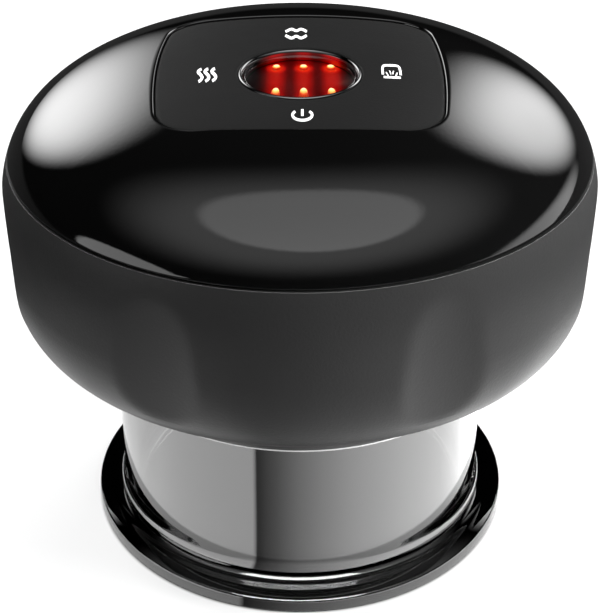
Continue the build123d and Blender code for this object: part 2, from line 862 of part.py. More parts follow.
# Motor: drawn can, end cap, magnets and plain bushes
can_inner = can_radius - can_wall
with BuildPart() as motor_can:
    can_outline = [
        (can_back, can_inner),
        (can_back, can_radius),
        (can_front, can_radius),
        (can_front, bush_radius),
        (can_front - can_wall, bush_radius),
        (can_front - can_wall, can_inner),
    ]
    revolve(lying_section(can_outline), axis=pump_axis)
    chamfer(motor_can.edges().filter_by(GeomType.CIRCLE).sort_by(SortBy.RADIUS)[-1], can_wall / 2)
keep("motor_can", motor_can)

with BuildPart() as motor_end_cap:
    with BuildSketch(lying(can_back)):
        Circle(can_inner - fit_gap)
        Circle(bush_radius, mode=Mode.SUBTRACT)
    extrude(amount=end_cap_thickness)
keep("motor_end_cap", motor_end_cap)

with BuildPart() as motor_terminals:
    with Locations((can_back, -pump_forward, pump_height)):
        with GridLocations(0, terminal_spread * 2, 1, 2):
            Box(
                terminal_reach,
                terminal_thickness,
                terminal_width,
                align=(Align.MAX, Align.CENTER, Align.CENTER),
            )
keep("motor_terminals", motor_terminals)

magnet_inner = can_inner - magnet_wall
magnet_start = armature_back - (magnet_length - armature_length) / 2
magnet_split = 2 * can_inner * sin((pi - magnet_arc * pi / 180) / 2)
with BuildPart() as motor_magnets:
    with BuildSketch(lying(magnet_start)):
        Circle(can_inner - fit_gap / 2)
        Circle(magnet_inner, mode=Mode.SUBTRACT)
        Rectangle(magnet_split, can_inner * 2, mode=Mode.SUBTRACT)
    extrude(amount=magnet_length)
keep("motor_magnets", motor_magnets)

with BuildPart() as motor_bushes:
    with BuildSketch(lying(can_back), lying(can_front - bush_length)):
        Circle(bush_radius)
        Circle(shaft_radius + bush_gap, mode=Mode.SUBTRACT)
    extrude(amount=bush_length)
keep("motor_bushes", motor_bushes)

# Rotor: shaft, three-pole core, windings and commutator
armature_radius = magnet_inner - air_gap
shoe_inner = armature_radius - pole_shoe_wall
armature_front = armature_back + armature_length
shoe_split = 2 * armature_radius * sin((2 * pi / pole_count - pole_shoe_arc * pi / 180) / 2)
with BuildPart() as motor_shaft:
    with BuildSketch(lying(shaft_back)):
        Circle(shaft_radius)
    extrude(amount=shaft_front - shaft_back)
    chamfer(motor_shaft.edges().filter_by(GeomType.CIRCLE), shaft_radius / 5)
keep("motor_shaft", motor_shaft)

with BuildPart() as armature_core:
    with BuildSketch(lying(armature_back)):
        Circle(armature_radius)
        Circle(shoe_inner, mode=Mode.SUBTRACT)
        with PolarLocations(armature_radius, pole_count, 180 / pole_count):
            Rectangle(pole_shoe_wall * 3, shoe_split, mode=Mode.SUBTRACT)
        Circle(armature_hub)
        with PolarLocations(armature_radius / 2, pole_count):
            Rectangle(armature_radius - pole_shoe_wall / 2, pole_neck)
        Circle(shaft_radius, mode=Mode.SUBTRACT)
    extrude(amount=armature_length)
keep("armature_core", armature_core)

winding_inner = armature_hub + air_gap
winding_outer = shoe_inner - pole_shoe_wall / 2
winding_width = pole_neck + winding_wall * 2
with BuildPart() as armature_windings:
    with Locations(lying((armature_back + armature_front) / 2)):
        with PolarLocations((winding_inner + winding_outer) / 2, pole_count):
            Box(winding_outer - winding_inner, winding_width, armature_length + winding_overhang * 2)
            Box(winding_outer - winding_inner, pole_neck, armature_length, mode=Mode.SUBTRACT)
keep("armature_windings", armature_windings)

commutator_back = armature_back - winding_overhang - commutator_length - fit_gap
with BuildPart() as commutator:
    with BuildSketch(lying(commutator_back)):
        Circle(commutator_radius)
        with PolarLocations(commutator_radius, pole_count):
            Rectangle(commutator_slot * 2, commutator_slot, mode=Mode.SUBTRACT)
        Circle(shaft_radius, mode=Mode.SUBTRACT)
    extrude(amount=commutator_length)
keep("commutator", commutator)

# Dampers and straps that hold the motor in its saddles
damper_planes = [lying(centre - damper_width / 2) for centre in damper_centres]
damper_outer = can_radius + damper_wall
strap_outer = damper_outer + strap_wall
strap_drop = pump_height - saddle_height
with BuildPart() as motor_dampers:
    with BuildSketch(*damper_planes):
        Circle(damper_outer)
        Circle(can_radius, mode=Mode.SUBTRACT)
    extrude(amount=damper_width)
keep("motor_dampers", motor_dampers)

with BuildPart() as motor_straps:
    with BuildSketch(*damper_planes):
        Circle(strap_outer)
        with Locations((-strap_drop + strap_wall / 2, 0)):
            Rectangle(strap_wall, saddle_half_width * 2)
        with Locations((-strap_drop, 0)):
            Rectangle(
                strap_outer * 2,
                saddle_half_width * 3,
                align=(Align.MAX, Align.CENTER),
                mode=Mode.SUBTRACT,
            )
        Circle(damper_outer, mode=Mode.SUBTRACT)
    extrude(amount=damper_width)
    for centre in damper_centres:
        with Locations((centre, -pump_forward, saddle_height)):
            with GridLocations(0, strap_screw_side * 2, 1, 2):
                Cylinder(screw_radius, strap_wall, align=upright, mode=Mode.SUBTRACT)
keep("motor_straps", motor_straps)

# Housing screws: one size for the base, the main board and the straps
with BuildPart() as housing_screws:
    with Locations((0, 0, ceiling_bottom)):
        with ring_of(base_screw_count, base_screw_circle, 45):
            add(screw(screw_length))
    with Locations((0, 0, board_height)):
        with ring_of(board_screw_count, board_screw_circle, 45):
            add(screw(screw_length))
    for centre in damper_centres:
        with Locations(Location((centre, -pump_forward, saddle_height + strap_wall), (180, 0, 0))):
            with GridLocations(0, strap_screw_side * 2, 1, 2):
                add(screw(screw_length))
keep("housing_screws", housing_screws)

# Crank: hub on the shaft with a slanting pin that rocks the wobble plate
pin_foot = Vector(pin_back, -pump_forward, pump_height + pin_throw)
pin_head = Vector(pin_tip, -pump_forward, pump_height)
pin_plane = Plane(origin=pin_foot, z_dir=pin_head - pin_foot)
pin_length = (pin_head - pin_foot).length
with BuildPart() as drive_pin:
    with BuildSketch(pin_plane):
        Circle(pin_radius)
    extrude(amount=pin_length)
    chamfer(drive_pin.edges().group_by(Axis.X)[-1], pin_radius / 2)
keep("drive_pin", drive_pin)

with BuildPart() as crank_hub:
    with BuildSketch(lying(crank_start)):
        Circle(crank_radius)
    extrude(amount=crank_length)
    chamfer(crank_hub.edges().filter_by(GeomType.CIRCLE), air_gap)
    with BuildSketch(lying(crank_start)):
        Circle(shaft_radius)
    extrude(amount=shaft_front - crank_start, mode=Mode.SUBTRACT)
    with BuildSketch(pin_plane):
        Circle(pin_radius)
    extrude(amount=pin_length, mode=Mode.SUBTRACT)
keep("crank_hub", crank_hub)

# Wobble plate: three arms that hold the diaphragm's stems, with a pocket for the pin
pin_slope = pin_throw / (pin_tip - pin_back)
pocket_mouth = pin_slope * (pin_tip - wobble_start) + pin_radius + wobble_pocket_gap
pocket_end = pin_radius + wobble_pocket_gap
pocket_floor = pin_tip + (wobble_end - pin_tip) / 3
with BuildPart() as wobble_plate:
    with BuildSketch(lying(wobble_start)):
        Circle(wobble_hub_radius)
    extrude(amount=wobble_end - wobble_start)
    with BuildSketch(lying(wobble_end - wobble_thickness)):
        with PolarLocations(arm_circle / 2, arm_count):
            SlotOverall(arm_circle + arm_width, arm_width)
        with PolarLocations(arm_circle, arm_count):
            Circle(stem_radius, mode=Mode.SUBTRACT)
    extrude(amount=wobble_thickness)
    pocket = [(wobble_start, 0), (wobble_start, pocket_mouth), (pocket_floor, pocket_end), (pocket_floor, 0)]
    revolve(lying_section(pocket), axis=pump_axis, mode=Mode.SUBTRACT)
keep("wobble_plate", wobble_plate)

# Pump head: crankcase, diaphragm, valve plate and cover, clamped by three screws
head_turn = 180 / arm_count
stem_start = wobble_end - wobble_thickness
with BuildPart() as pump_crankcase:
    case_outline = [
        (head_start, bush_radius + air_gap),
        (head_start, head_radius),
        (crankcase_end, head_radius),
        (crankcase_end, head_radius - head_wall),
        (head_start + head_floor, head_radius - head_wall),
        (head_start + head_floor, bush_radius + air_gap),
    ]
    revolve(lying_section(case_outline), axis=pump_axis)
    with BuildSketch(lying(head_start + head_floor)):
        with PolarLocations(head_screw_circle, head_screw_count, head_turn):
            Circle(head_boss_radius)
    extrude(amount=crankcase_length - head_floor)
    with BuildSketch(lying(cover_end - head_screw_reach)):
        with PolarLocations(head_screw_circle, head_screw_count, head_turn):
            Circle(head_screw_radius)
    extrude(amount=head_screw_reach, mode=Mode.SUBTRACT)
keep("pump_crankcase", pump_crankcase)

with BuildPart() as pump_diaphragm:
    with BuildSketch(lying(crankcase_end)):
        Circle(head_radius)
        with PolarLocations(head_screw_circle, head_screw_count, head_turn):
            Circle(head_screw_radius, mode=Mode.SUBTRACT)
    extrude(amount=diaphragm_web)
    with BuildSketch(lying(wobble_end + fit_gap)):
        with PolarLocations(arm_circle, arm_count):
            Circle(bell_radius)
    extrude(amount=crankcase_end - wobble_end)
    with BuildSketch(lying(stem_start - stem_radius)):
        with PolarLocations(arm_circle, arm_count):
            Circle(stem_radius)
    extrude(amount=crankcase_end - stem_start)
    with BuildSketch(lying(valve_plate_start - bell_height)):
        with PolarLocations(arm_circle, arm_count):
            Circle(bell_radius - stem_radius)
    extrude(amount=bell_height, mode=Mode.SUBTRACT)
keep("pump_diaphragm", pump_diaphragm)

with BuildPart() as valve_plate:
    with BuildSketch(lying(valve_plate_start)):
        Circle(head_radius)
        with PolarLocations(head_screw_circle, head_screw_count, head_turn):
            Circle(head_screw_radius, mode=Mode.SUBTRACT)
        with PolarLocations(arm_circle, arm_count):
            Circle(port_radius, mode=Mode.SUBTRACT)
    extrude(amount=valve_plate_thickness)
    with BuildSketch(lying(valve_plate_start)):
        with PolarLocations(arm_circle, arm_count):
            Circle(bell_radius - stem_radius)
    extrude(amount=chamber_depth, mode=Mode.SUBTRACT)
keep("valve_plate", valve_plate)

with BuildPart() as pump_cover:
    with BuildSketch(lying(cover_start)):
        Circle(head_radius)
        with PolarLocations(head_screw_circle, head_screw_count, head_turn):
            Circle(head_screw_radius, mode=Mode.SUBTRACT)
    extrude(amount=head_cover_thickness)
    with BuildSketch(lying(cover_start)):
        Circle(plenum_radius)
    extrude(amount=plenum_depth, mode=Mode.SUBTRACT)
    barb_end = cover_end + barb_length
    barb_step = barb_end - barb_ridge * 4
    barb_line = [(cover_end, 0), (cover_end, barb_radius), (barb_step, barb_radius)]
    revolve(lying_section(barb_line + [(barb_end, barb_radius - barb_ridge), (barb_end, 0)]), axis=pump_axis)
    with BuildSketch(lying(cover_start)):
        Circle(barb_bore)
    extrude(amount=head_cover_thickness + barb_length, mode=Mode.SUBTRACT)
keep("pump_cover", pump_cover)

with BuildPart() as pump_screws:
    with BuildSketch(lying(cover_end - head_screw_reach)):
        with PolarLocations(head_screw_circle, head_screw_count, head_turn):
            Circle(head_screw_radius)
    extrude(amount=head_screw_reach)
    with BuildSketch(lying(cover_end)):
        with PolarLocations(head_screw_circle, head_screw_count, head_turn):
            Circle(head_screw_head)
    extrude(amount=head_screw_radius)
keep("pump_screws", pump_screws)

# Release valve: frame, coil, plunger with its spring, and the head with its barb
frame_top = valve_foot + valve_body_height
coil_bottom = valve_foot + valve_sheet
plunger_bottom = coil_bottom + spring_radius * 2 + plunger_travel
plunger_top = frame_top + plunger_rise
valve_middle = (valve_side, air_line_back)
with BuildPart() as valve_frame:
    with Locations((*valve_middle, valve_foot)):
        Box(valve_half * 2, valve_half * 2, valve_body_height, align=upright)
    with Locations((*valve_middle, coil_bottom)):
        Box(
            valve_half * 2 - valve_sheet * 2,
            valve_half * 2,
            valve_body_height - valve_sheet * 2,
            align=upright,
            mode=Mode.SUBTRACT,
        )
        Cylinder(coil_bore, valve_body_height, align=upright, mode=Mode.SUBTRACT)
keep("valve_frame", valve_frame)

with BuildPart() as valve_coil:
    with Locations((*valve_middle, coil_bottom)):
        Cylinder(coil_radius, valve_body_height - valve_sheet * 2, align=upright)
        Cylinder(coil_bore, valve_body_height, align=upright, mode=Mode.SUBTRACT)
keep("valve_coil", valve_coil)

with BuildPart() as valve_plunger:
    with Locations((*valve_middle, plunger_bottom)):
        Cylinder(plunger_radius, plunger_top - plunger_bottom, align=upright)
    chamfer(valve_plunger.edges().group_by(Axis.Z)[-1], plunger_radius / 4)
keep("valve_plunger", valve_plunger)

spring_height = plunger_bottom - coil_bottom - spring_wire * 2
with BuildPart() as valve_spring:
    with BuildLine() as coil_line:
        Helix(
            spring_height / spring_turns,
            spring_height,
            spring_radius,
            center=(*valve_middle, coil_bottom + spring_wire),
        )
    with BuildSketch(Plane(origin=coil_line.line @ 0, z_dir=coil_line.line % 0)):
        RegularPolygon(spring_wire, 6)
    sweep()
keep("valve_spring", valve_spring)

seat_height = plunger_top + seat_gap - frame_top
with BuildPart() as valve_head:
    with Locations((*valve_middle, frame_top)):
        Box(valve_half * 2, valve_half * 2, valve_head_height, align=upright)
        Cylinder(seat_radius, seat_height, align=upright, mode=Mode.SUBTRACT)
        Cylinder(barb_bore, pump_height - frame_top, align=upright, mode=Mode.SUBTRACT)
    chamfer(valve_head.edges().filter_by(Axis.Z).group_by(SortBy.LENGTH)[-1], valve_flange / 2)
    with BuildSketch(Plane(origin=(valve_side + valve_half, air_line_back, pump_height), z_dir=(1, 0, 0))):
        Circle(barb_radius)
    extrude(amount=barb_length - barb_ridge * 2)
    with BuildSketch(Plane(origin=(valve_side, air_line_back, pump_height), z_dir=(1, 0, 0))):
        Circle(barb_bore)
    extrude(amount=valve_half + barb_length, mode=Mode.SUBTRACT)
keep("valve_head", valve_head)

# Tee and the three hoses of the air line
tee_arm = tee_radius + barb_length - barb_ridge * 2
tee_planes = [
    Plane(origin=(0, air_line_back, pump_height), z_dir=(1, 0, 0)),
    Plane(origin=(0, air_line_back, pump_height), z_dir=(-1, 0, 0)),
    Plane(origin=(0, air_line_back, pump_height), z_dir=(0, 0, -1)),
]
with BuildPart() as tee_fitting:
    with BuildSketch(*tee_planes):
        Circle(tee_radius)
    extrude(amount=tee_radius)
    with BuildSketch(*tee_planes):
        Circle(barb_radius)
    extrude(amount=tee_arm)
    with BuildSketch(*tee_planes):
        Circle(barb_bore)
    extrude(amount=tee_arm, mode=Mode.SUBTRACT)
keep("tee_fitting", tee_fitting)


def hose(path_points):
    """Rubber tube along straight runs joined by tangent bends."""
    with BuildPart() as tube:
        with BuildLine() as route:
            if len(path_points) > 2:
                FilletPolyline(*path_points, radius=hose_bend)
            else:
                Line(*path_points)
        with BuildSketch(Plane(origin=route.line @ 0, z_dir=route.line % 0)):
            Circle(hose_radius)
            Circle(hose_bore, mode=Mode.SUBTRACT)
        sweep()
    return tube


hose_start = tee_radius + fit_gap * 2
pump_turn = cover_end + barb_length + hose_bend
base_hose = hose(
    [
        (0, air_line_back, belly_height + fit_gap * 2),
        (0, air_line_back, pump_height - hose_start),
    ]
)
keep("base_hose", base_hose)
valve_hose = hose(
    [
        (valve_side + valve_half + fit_gap * 2, air_line_back, pump_height),
        (-hose_start, air_line_back, pump_height),
    ]
)
keep("valve_hose", valve_hose)
pump_hose = hose(
    [
        (cover_end + fit_gap * 2, -pump_forward, pump_height),
        (pump_turn, -pump_forward, pump_height),
        (pump_turn, air_line_back, pump_height),
        (hose_start, air_line_back, pump_height),
    ]
)
keep("pump_hose", pump_hose)

# Lithium cell in its pocket, and the leads that run up to the main board
cell_middle = (cell_front + cell_back) / 2
cell_top = chassis_top + cell_height
with BuildPart() as battery_cell:
    with BuildSketch(Plane.XY.offset(chassis_top)):
        with Locations((0, cell_middle)):
            RectangleRounded(cell_width, cell_depth, cell_round)
    extrude(amount=cell_height)
    chamfer(battery_cell.edges().group_by(Axis.Z)[-1], cell_round / 4)
keep("battery_cell", battery_cell)


def leads(places, bottom, radius):
    """Straight wires from a height up to the main board."""
    with BuildPart() as wires:
        with Locations(*[(across, along, bottom) for across, along in places]):
            Cylinder(radius, board_height - bottom, align=upright)
    return wires


terminal_middle = can_back - terminal_reach / 2
charge_board_back = socket_back + charge_board_depth / 3
charge_board_front = charge_board_back - charge_board_depth
charge_board_top = board_seat + charge_board_thickness
battery_leads = leads([(lead_spread, cell_middle), (-lead_spread, cell_middle)], cell_top, lead_radius)
keep("battery_leads", battery_leads)
motor_lead_places = [(terminal_middle, -pump_forward + side * terminal_spread) for side in (-1, 1)]
motor_leads = leads(motor_lead_places, pump_height + terminal_width / 2, lead_radius)
keep("motor_leads", motor_leads)
charge_lead_places = [(side * lead_spread, charge_board_front + lead_spread) for side in (-1, 1)]
charge_leads = leads(charge_lead_places, charge_board_top, lead_radius)
keep("charge_leads", charge_leads)
base_lead = leads([(base_lead_side, base_lead_back)], light_board_top, base_lead_radius)
keep("base_lead", base_lead)

# Charging port: board on its posts, drawn shell and tongue
with BuildPart() as charge_board:
    with Locations((0, (charge_board_front + charge_board_back) / 2, board_seat)):
        Box(charge_board_width, charge_board_depth, charge_board_thickness, align=upright)
    chamfer(charge_board.edges().filter_by(Axis.Z), charge_board_thickness)
keep("charge_board", charge_board)

socket_plane = Plane((0, socket_back, port_height), x_dir=(-1, 0, 0), z_dir=(0, 1, 0))
with BuildPart() as port_shell:
    with BuildSketch(socket_plane):
        SlotOverall(socket_width, socket_height)
    extrude(amount=socket_depth)
    with BuildSketch(socket_plane.offset(charge_board_thickness)):
        SlotOverall(socket_width - socket_wall * 2, socket_height - socket_wall * 2)
    extrude(amount=socket_depth, mode=Mode.SUBTRACT)
keep("port_shell", port_shell)

with BuildPart() as port_tongue:
    with BuildSketch(socket_plane.offset(charge_board_thickness)):
        Rectangle(tongue_width, tongue_height)
    extrude(amount=tongue_length)
    chamfer(port_tongue.faces().sort_by(Axis.Y)[-1].edges(), tongue_height / 5)
keep("port_tongue", port_tongue)

print(len(nodes), "pieces")
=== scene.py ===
"""Electric cupping massager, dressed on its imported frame: meshes, finishes, lights and camera."""

import json
import logging
import math
from contextlib import contextmanager
from dataclasses import dataclass, field
from enum import Enum
from typing import Callable, Iterator, Sequence, Union

import bmesh
import bpy
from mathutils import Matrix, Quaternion, Vector


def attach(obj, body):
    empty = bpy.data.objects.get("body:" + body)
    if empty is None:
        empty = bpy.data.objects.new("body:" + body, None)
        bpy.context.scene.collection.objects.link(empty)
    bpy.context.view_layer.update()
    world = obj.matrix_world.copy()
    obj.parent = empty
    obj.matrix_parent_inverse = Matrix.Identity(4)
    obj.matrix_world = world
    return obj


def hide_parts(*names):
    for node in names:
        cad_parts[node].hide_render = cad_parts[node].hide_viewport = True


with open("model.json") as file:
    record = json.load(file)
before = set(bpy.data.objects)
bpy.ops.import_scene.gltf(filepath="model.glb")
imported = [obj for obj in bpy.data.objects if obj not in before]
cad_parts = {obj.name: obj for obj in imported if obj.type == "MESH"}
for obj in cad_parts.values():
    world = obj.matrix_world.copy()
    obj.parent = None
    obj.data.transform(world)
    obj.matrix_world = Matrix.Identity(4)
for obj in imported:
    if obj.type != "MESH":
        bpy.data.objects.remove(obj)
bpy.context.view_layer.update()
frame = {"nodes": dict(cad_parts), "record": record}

MM = 0.001
TINY = 1e-6
FULL_TURN = 2 * math.pi
log = logging.getLogger("massager")

Point = tuple[float, float]
Place = tuple[float, float, float]
Colour = tuple[float, float, float, float]
Piece = bpy.types.Object
Material = bpy.types.Material
Socket = bpy.types.NodeSocket
Value = Union[float, Place, Colour, Vector, Socket]


# Outer form shared by the cover, the panel and the body


@dataclass(frozen=True)
class OuterForm:
    """Squashed dome over a rounded belly, in millimetres."""

    radius: float = 43.7
    waist: float = 51.3
    crown: float = 74.2
    crown_power: float = 3.05
    foot: float = 31.8
    foot_radius: float = 12.0
    belly_power: float = 3.9
    seam: float = 61.6
    seam_gap: float = 0.3
    wall: float = 2.2

    def crown_point(self, turn: float, inset: float = 0.0) -> Point:
        """Radius and height on the dome at a quarter-turn parameter, 0 at the waist.

        Args:
            turn: parameter from 0 at the waist to a quarter turn at the crown.
            inset: distance inside the outer face.

        Returns:
            Radius and height.
        """
        power = 2 / self.crown_power
        rise = self.crown - inset - self.waist
        reach = self.radius - inset
        return reach * abs(math.cos(turn)) ** power, self.waist + rise * abs(math.sin(turn)) ** power

    def belly_point(self, turn: float, inset: float = 0.0) -> Point:
        """Radius and height on the belly, from 0 at the waist to a quarter turn at the foot.

        Args:
            turn: parameter of the point.
            inset: distance inside the outer face.

        Returns:
            Radius and height.
        """
        power = 2 / self.belly_power
        reach = self.radius - self.foot_radius - inset
        drop = self.waist - self.foot - inset
        radius = self.foot_radius + reach * abs(math.cos(turn)) ** power
        return radius, self.waist - drop * abs(math.sin(turn)) ** power

    def underside(self, radius: float) -> float:
        """Height of the belly's underside at a radius."""
        share = max(0.0, (radius - self.foot_radius) / (self.radius - self.foot_radius))
        return self.waist - (self.waist - self.foot) * (1 - share**self.belly_power) ** (1 / self.belly_power)

    def turn_at_radius(self, radius: float, inset: float = 0.0) -> float:
        """Parameter of the dome's point at a radius."""
        share = min(1.0, max(0.0, radius / (self.radius - inset)))
        return math.acos(share ** (self.crown_power / 2))

    def turn_at_height(self, height: float, inset: float = 0.0) -> float:
        """Parameter of the dome's point at a height."""
        share = min(1.0, max(0.0, (height - self.waist) / (self.crown - inset - self.waist)))
        return math.asin(share ** (self.crown_power / 2))

    def height(self, x: float, y: float, inset: float = 0.0) -> float:
        """Height of the dome above a place in plan."""
        return self.crown_point(self.turn_at_radius(math.hypot(x, y), inset), inset)[1]


# Modelling moves


def put_down() -> None:
    """Leave edit mode and deselect everything."""
    if bpy.context.object and bpy.context.object.mode != "OBJECT":
        bpy.ops.object.mode_set(mode="OBJECT")
    bpy.ops.object.select_all(action="DESELECT")


def take(*pieces: Piece) -> None:
    """Select only these pieces and make the first one active.

    Args:
        pieces: the objects to select.
    """
    put_down()
    for piece in pieces:
        piece.select_set(True)
    bpy.context.view_layer.objects.active = pieces[0]


def named(name: str) -> Piece:
    """Name the active object and its mesh.

    Args:
        name: the piece's name.

    Returns:
        The piece.
    """
    piece = bpy.context.active_object
    piece.name = name
    piece.data.name = name
    return piece


@contextmanager
def editing(piece: Piece) -> Iterator[None]:
    """Hold a piece in edit mode with all of it selected.

    Args:
        piece: the piece to edit.

    Yields:
        Nothing.
    """
    take(piece)
    bpy.ops.object.mode_set(mode="EDIT")
    bpy.ops.mesh.select_all(action="SELECT")
    yield
    bpy.ops.object.mode_set(mode="OBJECT")


def smooth(piece: Piece, degrees: float = 30.0) -> Piece:
    """Shade a piece smooth up to an angle.

    Args:
        piece: the piece to shade.
        degrees: the largest angle that stays smooth.

    Returns:
        The same piece.
    """
    take(piece)
    bpy.ops.object.shade_smooth_by_angle(angle=math.radians(degrees))
    return piece


def apply_modifier(piece: Piece, kind: str, **settings: object) -> None:
    """Add a modifier, set it and apply it.

    Args:
        piece: the piece that gets it.
        kind: the modifier's type.
        settings: its properties.
    """
    take(piece)
    modifier = piece.modifiers.new(kind.lower(), kind)
    for key, value in settings.items():
        setattr(modifier, key, value)
    bpy.ops.object.modifier_apply(modifier=modifier.name)


def bevel(piece: Piece, width: float, segments: int = 3, degrees: float = 40.0) -> None:
    """Round the edges that turn by more than an angle.

    Args:
        piece: the piece to round.
        width: the rounding in millimetres.
        segments: the steps across it.
        degrees: the angle above which an edge is rounded.
    """
    limit = math.radians(degrees)
    apply_modifier(piece, "BEVEL", width=width * MM, segments=segments, limit_method="ANGLE", angle_limit=limit)


def tidy_mesh(piece: Piece) -> Piece:
    """Merge doubles and turn the faces outwards.

    Args:
        piece: the piece to tidy.

    Returns:
        The same piece.
    """
    with editing(piece):
        bpy.ops.mesh.remove_doubles(threshold=TINY)
        bpy.ops.mesh.normals_make_consistent(inside=False)
    return piece


def face_up(sheet: Piece) -> None:
    """Tidy an open sheet and turn it face up.

    Args:
        sheet: the sheet.
    """
    tidy_mesh(sheet)
    if sheet.data.polygons[0].normal.z < 0:
        sheet.data.flip_normals()


def spun(
    name: str, outline: Sequence[Point], steps: int = 144, centre: Point = (0.0, 0.0), closed: bool = True
) -> Piece:
    """Extrude one vertex along an outline and spin the chain round an upright axis.

    Args:
        name: the piece's name.
        outline: points of (radius, height) in millimetres.
        steps: how many steps one turn has.
        centre: the axis in plan.
        closed: whether the outline closes on itself.

    Returns:
        The spun piece.
    """
    put_down()
    bpy.ops.mesh.primitive_plane_add(size=MM)
    piece = named(name)
    with editing(piece):
        bpy.ops.mesh.merge(type="CENTER")
        here = Vector((0, 0, 0))
        for index, (radius, height) in enumerate(outline):
            step = Vector((centre[0] + radius, centre[1], height)) * MM - here
            if index:
                bpy.ops.mesh.extrude_region_move(TRANSFORM_OT_translate={"value": step})
            else:
                bpy.ops.transform.translate(value=step)
            here += step
        if closed:
            mesh = bmesh.from_edit_mesh(piece.data)
            mesh.edges.new([vertex for vertex in mesh.verts if len(vertex.link_edges) == 1])
            bmesh.update_edit_mesh(piece.data)
        bpy.ops.mesh.select_all(action="SELECT")
        axis = (centre[0] * MM, centre[1] * MM, 0)
        bpy.ops.mesh.spin(steps=steps, angle=FULL_TURN, center=axis, axis=(0, 0, 1))
    return tidy_mesh(piece)


def arc(centre: Point, radius: float, start: float, end: float, steps: int) -> list[Point]:
    """Points on an arc, with both ends.

    Args:
        centre: the arc's centre.
        radius: its radius.
        start: its first angle in degrees.
        end: its last angle in degrees.
        steps: how many steps it has.

    Returns:
        Its points.
    """
    turns = [math.radians(start + (end - start) * i / steps) for i in range(steps + 1)]
    return [(centre[0] + radius * math.cos(t), centre[1] + radius * math.sin(t)) for t in turns]


def cut(piece: Piece, tool: Piece) -> None:
    """Cut a tool out of a piece and delete the tool."""
    apply_modifier(piece, "BOOLEAN", object=tool, operation="DIFFERENCE", solver="EXACT")
    bpy.data.objects.remove(tool)


def join(*pieces: Piece) -> Piece:
    """Join pieces into the first one.

    Args:
        pieces: the pieces to join.

    Returns:
        The joined piece.
    """
    take(*pieces)
    bpy.ops.object.join()
    return pieces[0]


def heading(bearing: float, elevation: float) -> Vector:
    """Direction from the object, at a bearing clockwise from the front.

    Args:
        bearing: the bearing in degrees, seen from above.
        elevation: the angle above level in degrees.

    Returns:
        The direction, of length one.
    """
    turn, rise = math.radians(bearing), math.radians(elevation)
    return Vector((math.sin(turn) * math.cos(rise), -math.cos(turn) * math.cos(rise), math.sin(rise)))


# Node trees and the effects that several finishes share


class Nodes:
    """A node tree under construction."""

    def __init__(self, tree: bpy.types.NodeTree) -> None:
        """Keep the tree."""
        self.tree = tree

    def put(self, socket: Socket, value: Value) -> None:
        """Link an input to another node's output, or set its value.

        Args:
            socket: the input.
            value: the output to link, or a number, vector or colour.
        """
        if isinstance(value, bpy.types.NodeSocket):
            self.tree.links.new(value, socket)
        else:
            socket.default_value = value

    def fill(self, node: bpy.types.Node, **values: Value) -> None:
        """Put values into inputs that are named with underscores for spaces."""
        for key, value in values.items():
            self.put(node.inputs[key.replace("_", " ")], value)

    def add(self, kind: str, label: str = "", **values: object) -> bpy.types.Node:
        """Add a node and set its properties or inputs.

        Args:
            kind: the node's type, without its prefix.
            label: a label to read it by.
            values: properties, or inputs by name with spaces as underscores.

        Returns:
            The node.
        """
        node = self.tree.nodes.new("ShaderNode" + kind)
        node.label = label
        for key, value in values.items():
            if hasattr(node, key):
                setattr(node, key, value)
            else:
                self.fill(node, **{key: value})
        return node

    def calc(self, operation: str, *values: Value) -> Socket:
        """Work a number out of others.

        Args:
            operation: the Math node's operation.
            values: its inputs in order.

        Returns:
            The result.
        """
        node = self.add("Math", operation=operation)
        for socket, value in zip(node.inputs, values):
            self.put(socket, value)
        return node.outputs[0]

    def measure(self, operation: str, *values: Value, output: str = "Value") -> Socket:
        """Work a number or a vector out of vectors.

        Args:
            operation: the Vector Math node's operation.
            values: its inputs in order.
            output: which output is wanted.

        Returns:
            The result.
        """
        node = self.add("VectorMath", operation=operation)
        for socket, value in zip(node.inputs, values):
            self.put(socket, value)
        return node.outputs[output]

    def fit(self, value: Socket, start: Point = (0.0, 1.0), end: Point = (0.0, 1.0), ease: str = "LINEAR") -> Socket:
        """Map one range of a number onto another, and hold it there.

        Args:
            value: the number.
            start: the range that it comes from.
            end: the range that it goes to.
            ease: how it goes from one end to the other.

        Returns:
            The result.
        """
        node = self.add("MapRange", interpolation_type=ease, Value=value)
        self.fill(node, From_Min=start[0], From_Max=start[1], To_Min=end[0], To_Max=end[1])
        return node.outputs["Result"]

    def mix(self, share: Socket, low: Value, high: Value) -> Socket:
        """Mix two numbers or two colours.

        Args:
            share: the share of the second one.
            low: the first number or colour.
            high: the second one.

        Returns:
            The result.
        """
        coloured = isinstance(low, tuple)
        node = self.add("Mix", data_type="RGBA" if coloured else "FLOAT")
        first = 6 if coloured else 2
        for index, value in zip((0, first, first + 1), (share, low, high)):
            self.put(node.inputs[index], value)
        return node.outputs[2 if coloured else 0]

    def ramp(self, share: Socket, *stops: tuple[float, Colour]) -> Socket:
        """Colour by a share.

        Args:
            share: the share along the ramp.
            stops: places and colours in order, the first and the last at the ramp's ends.

        Returns:
            The colour.
        """
        node = self.add("ValToRGB", Fac=share)
        band = node.color_ramp.elements
        band[0].color, band[1].color = stops[0][1], stops[-1][1]
        for place, colour in stops[1:-1]:
            band.new(place).color = colour
        return node.outputs["Color"]


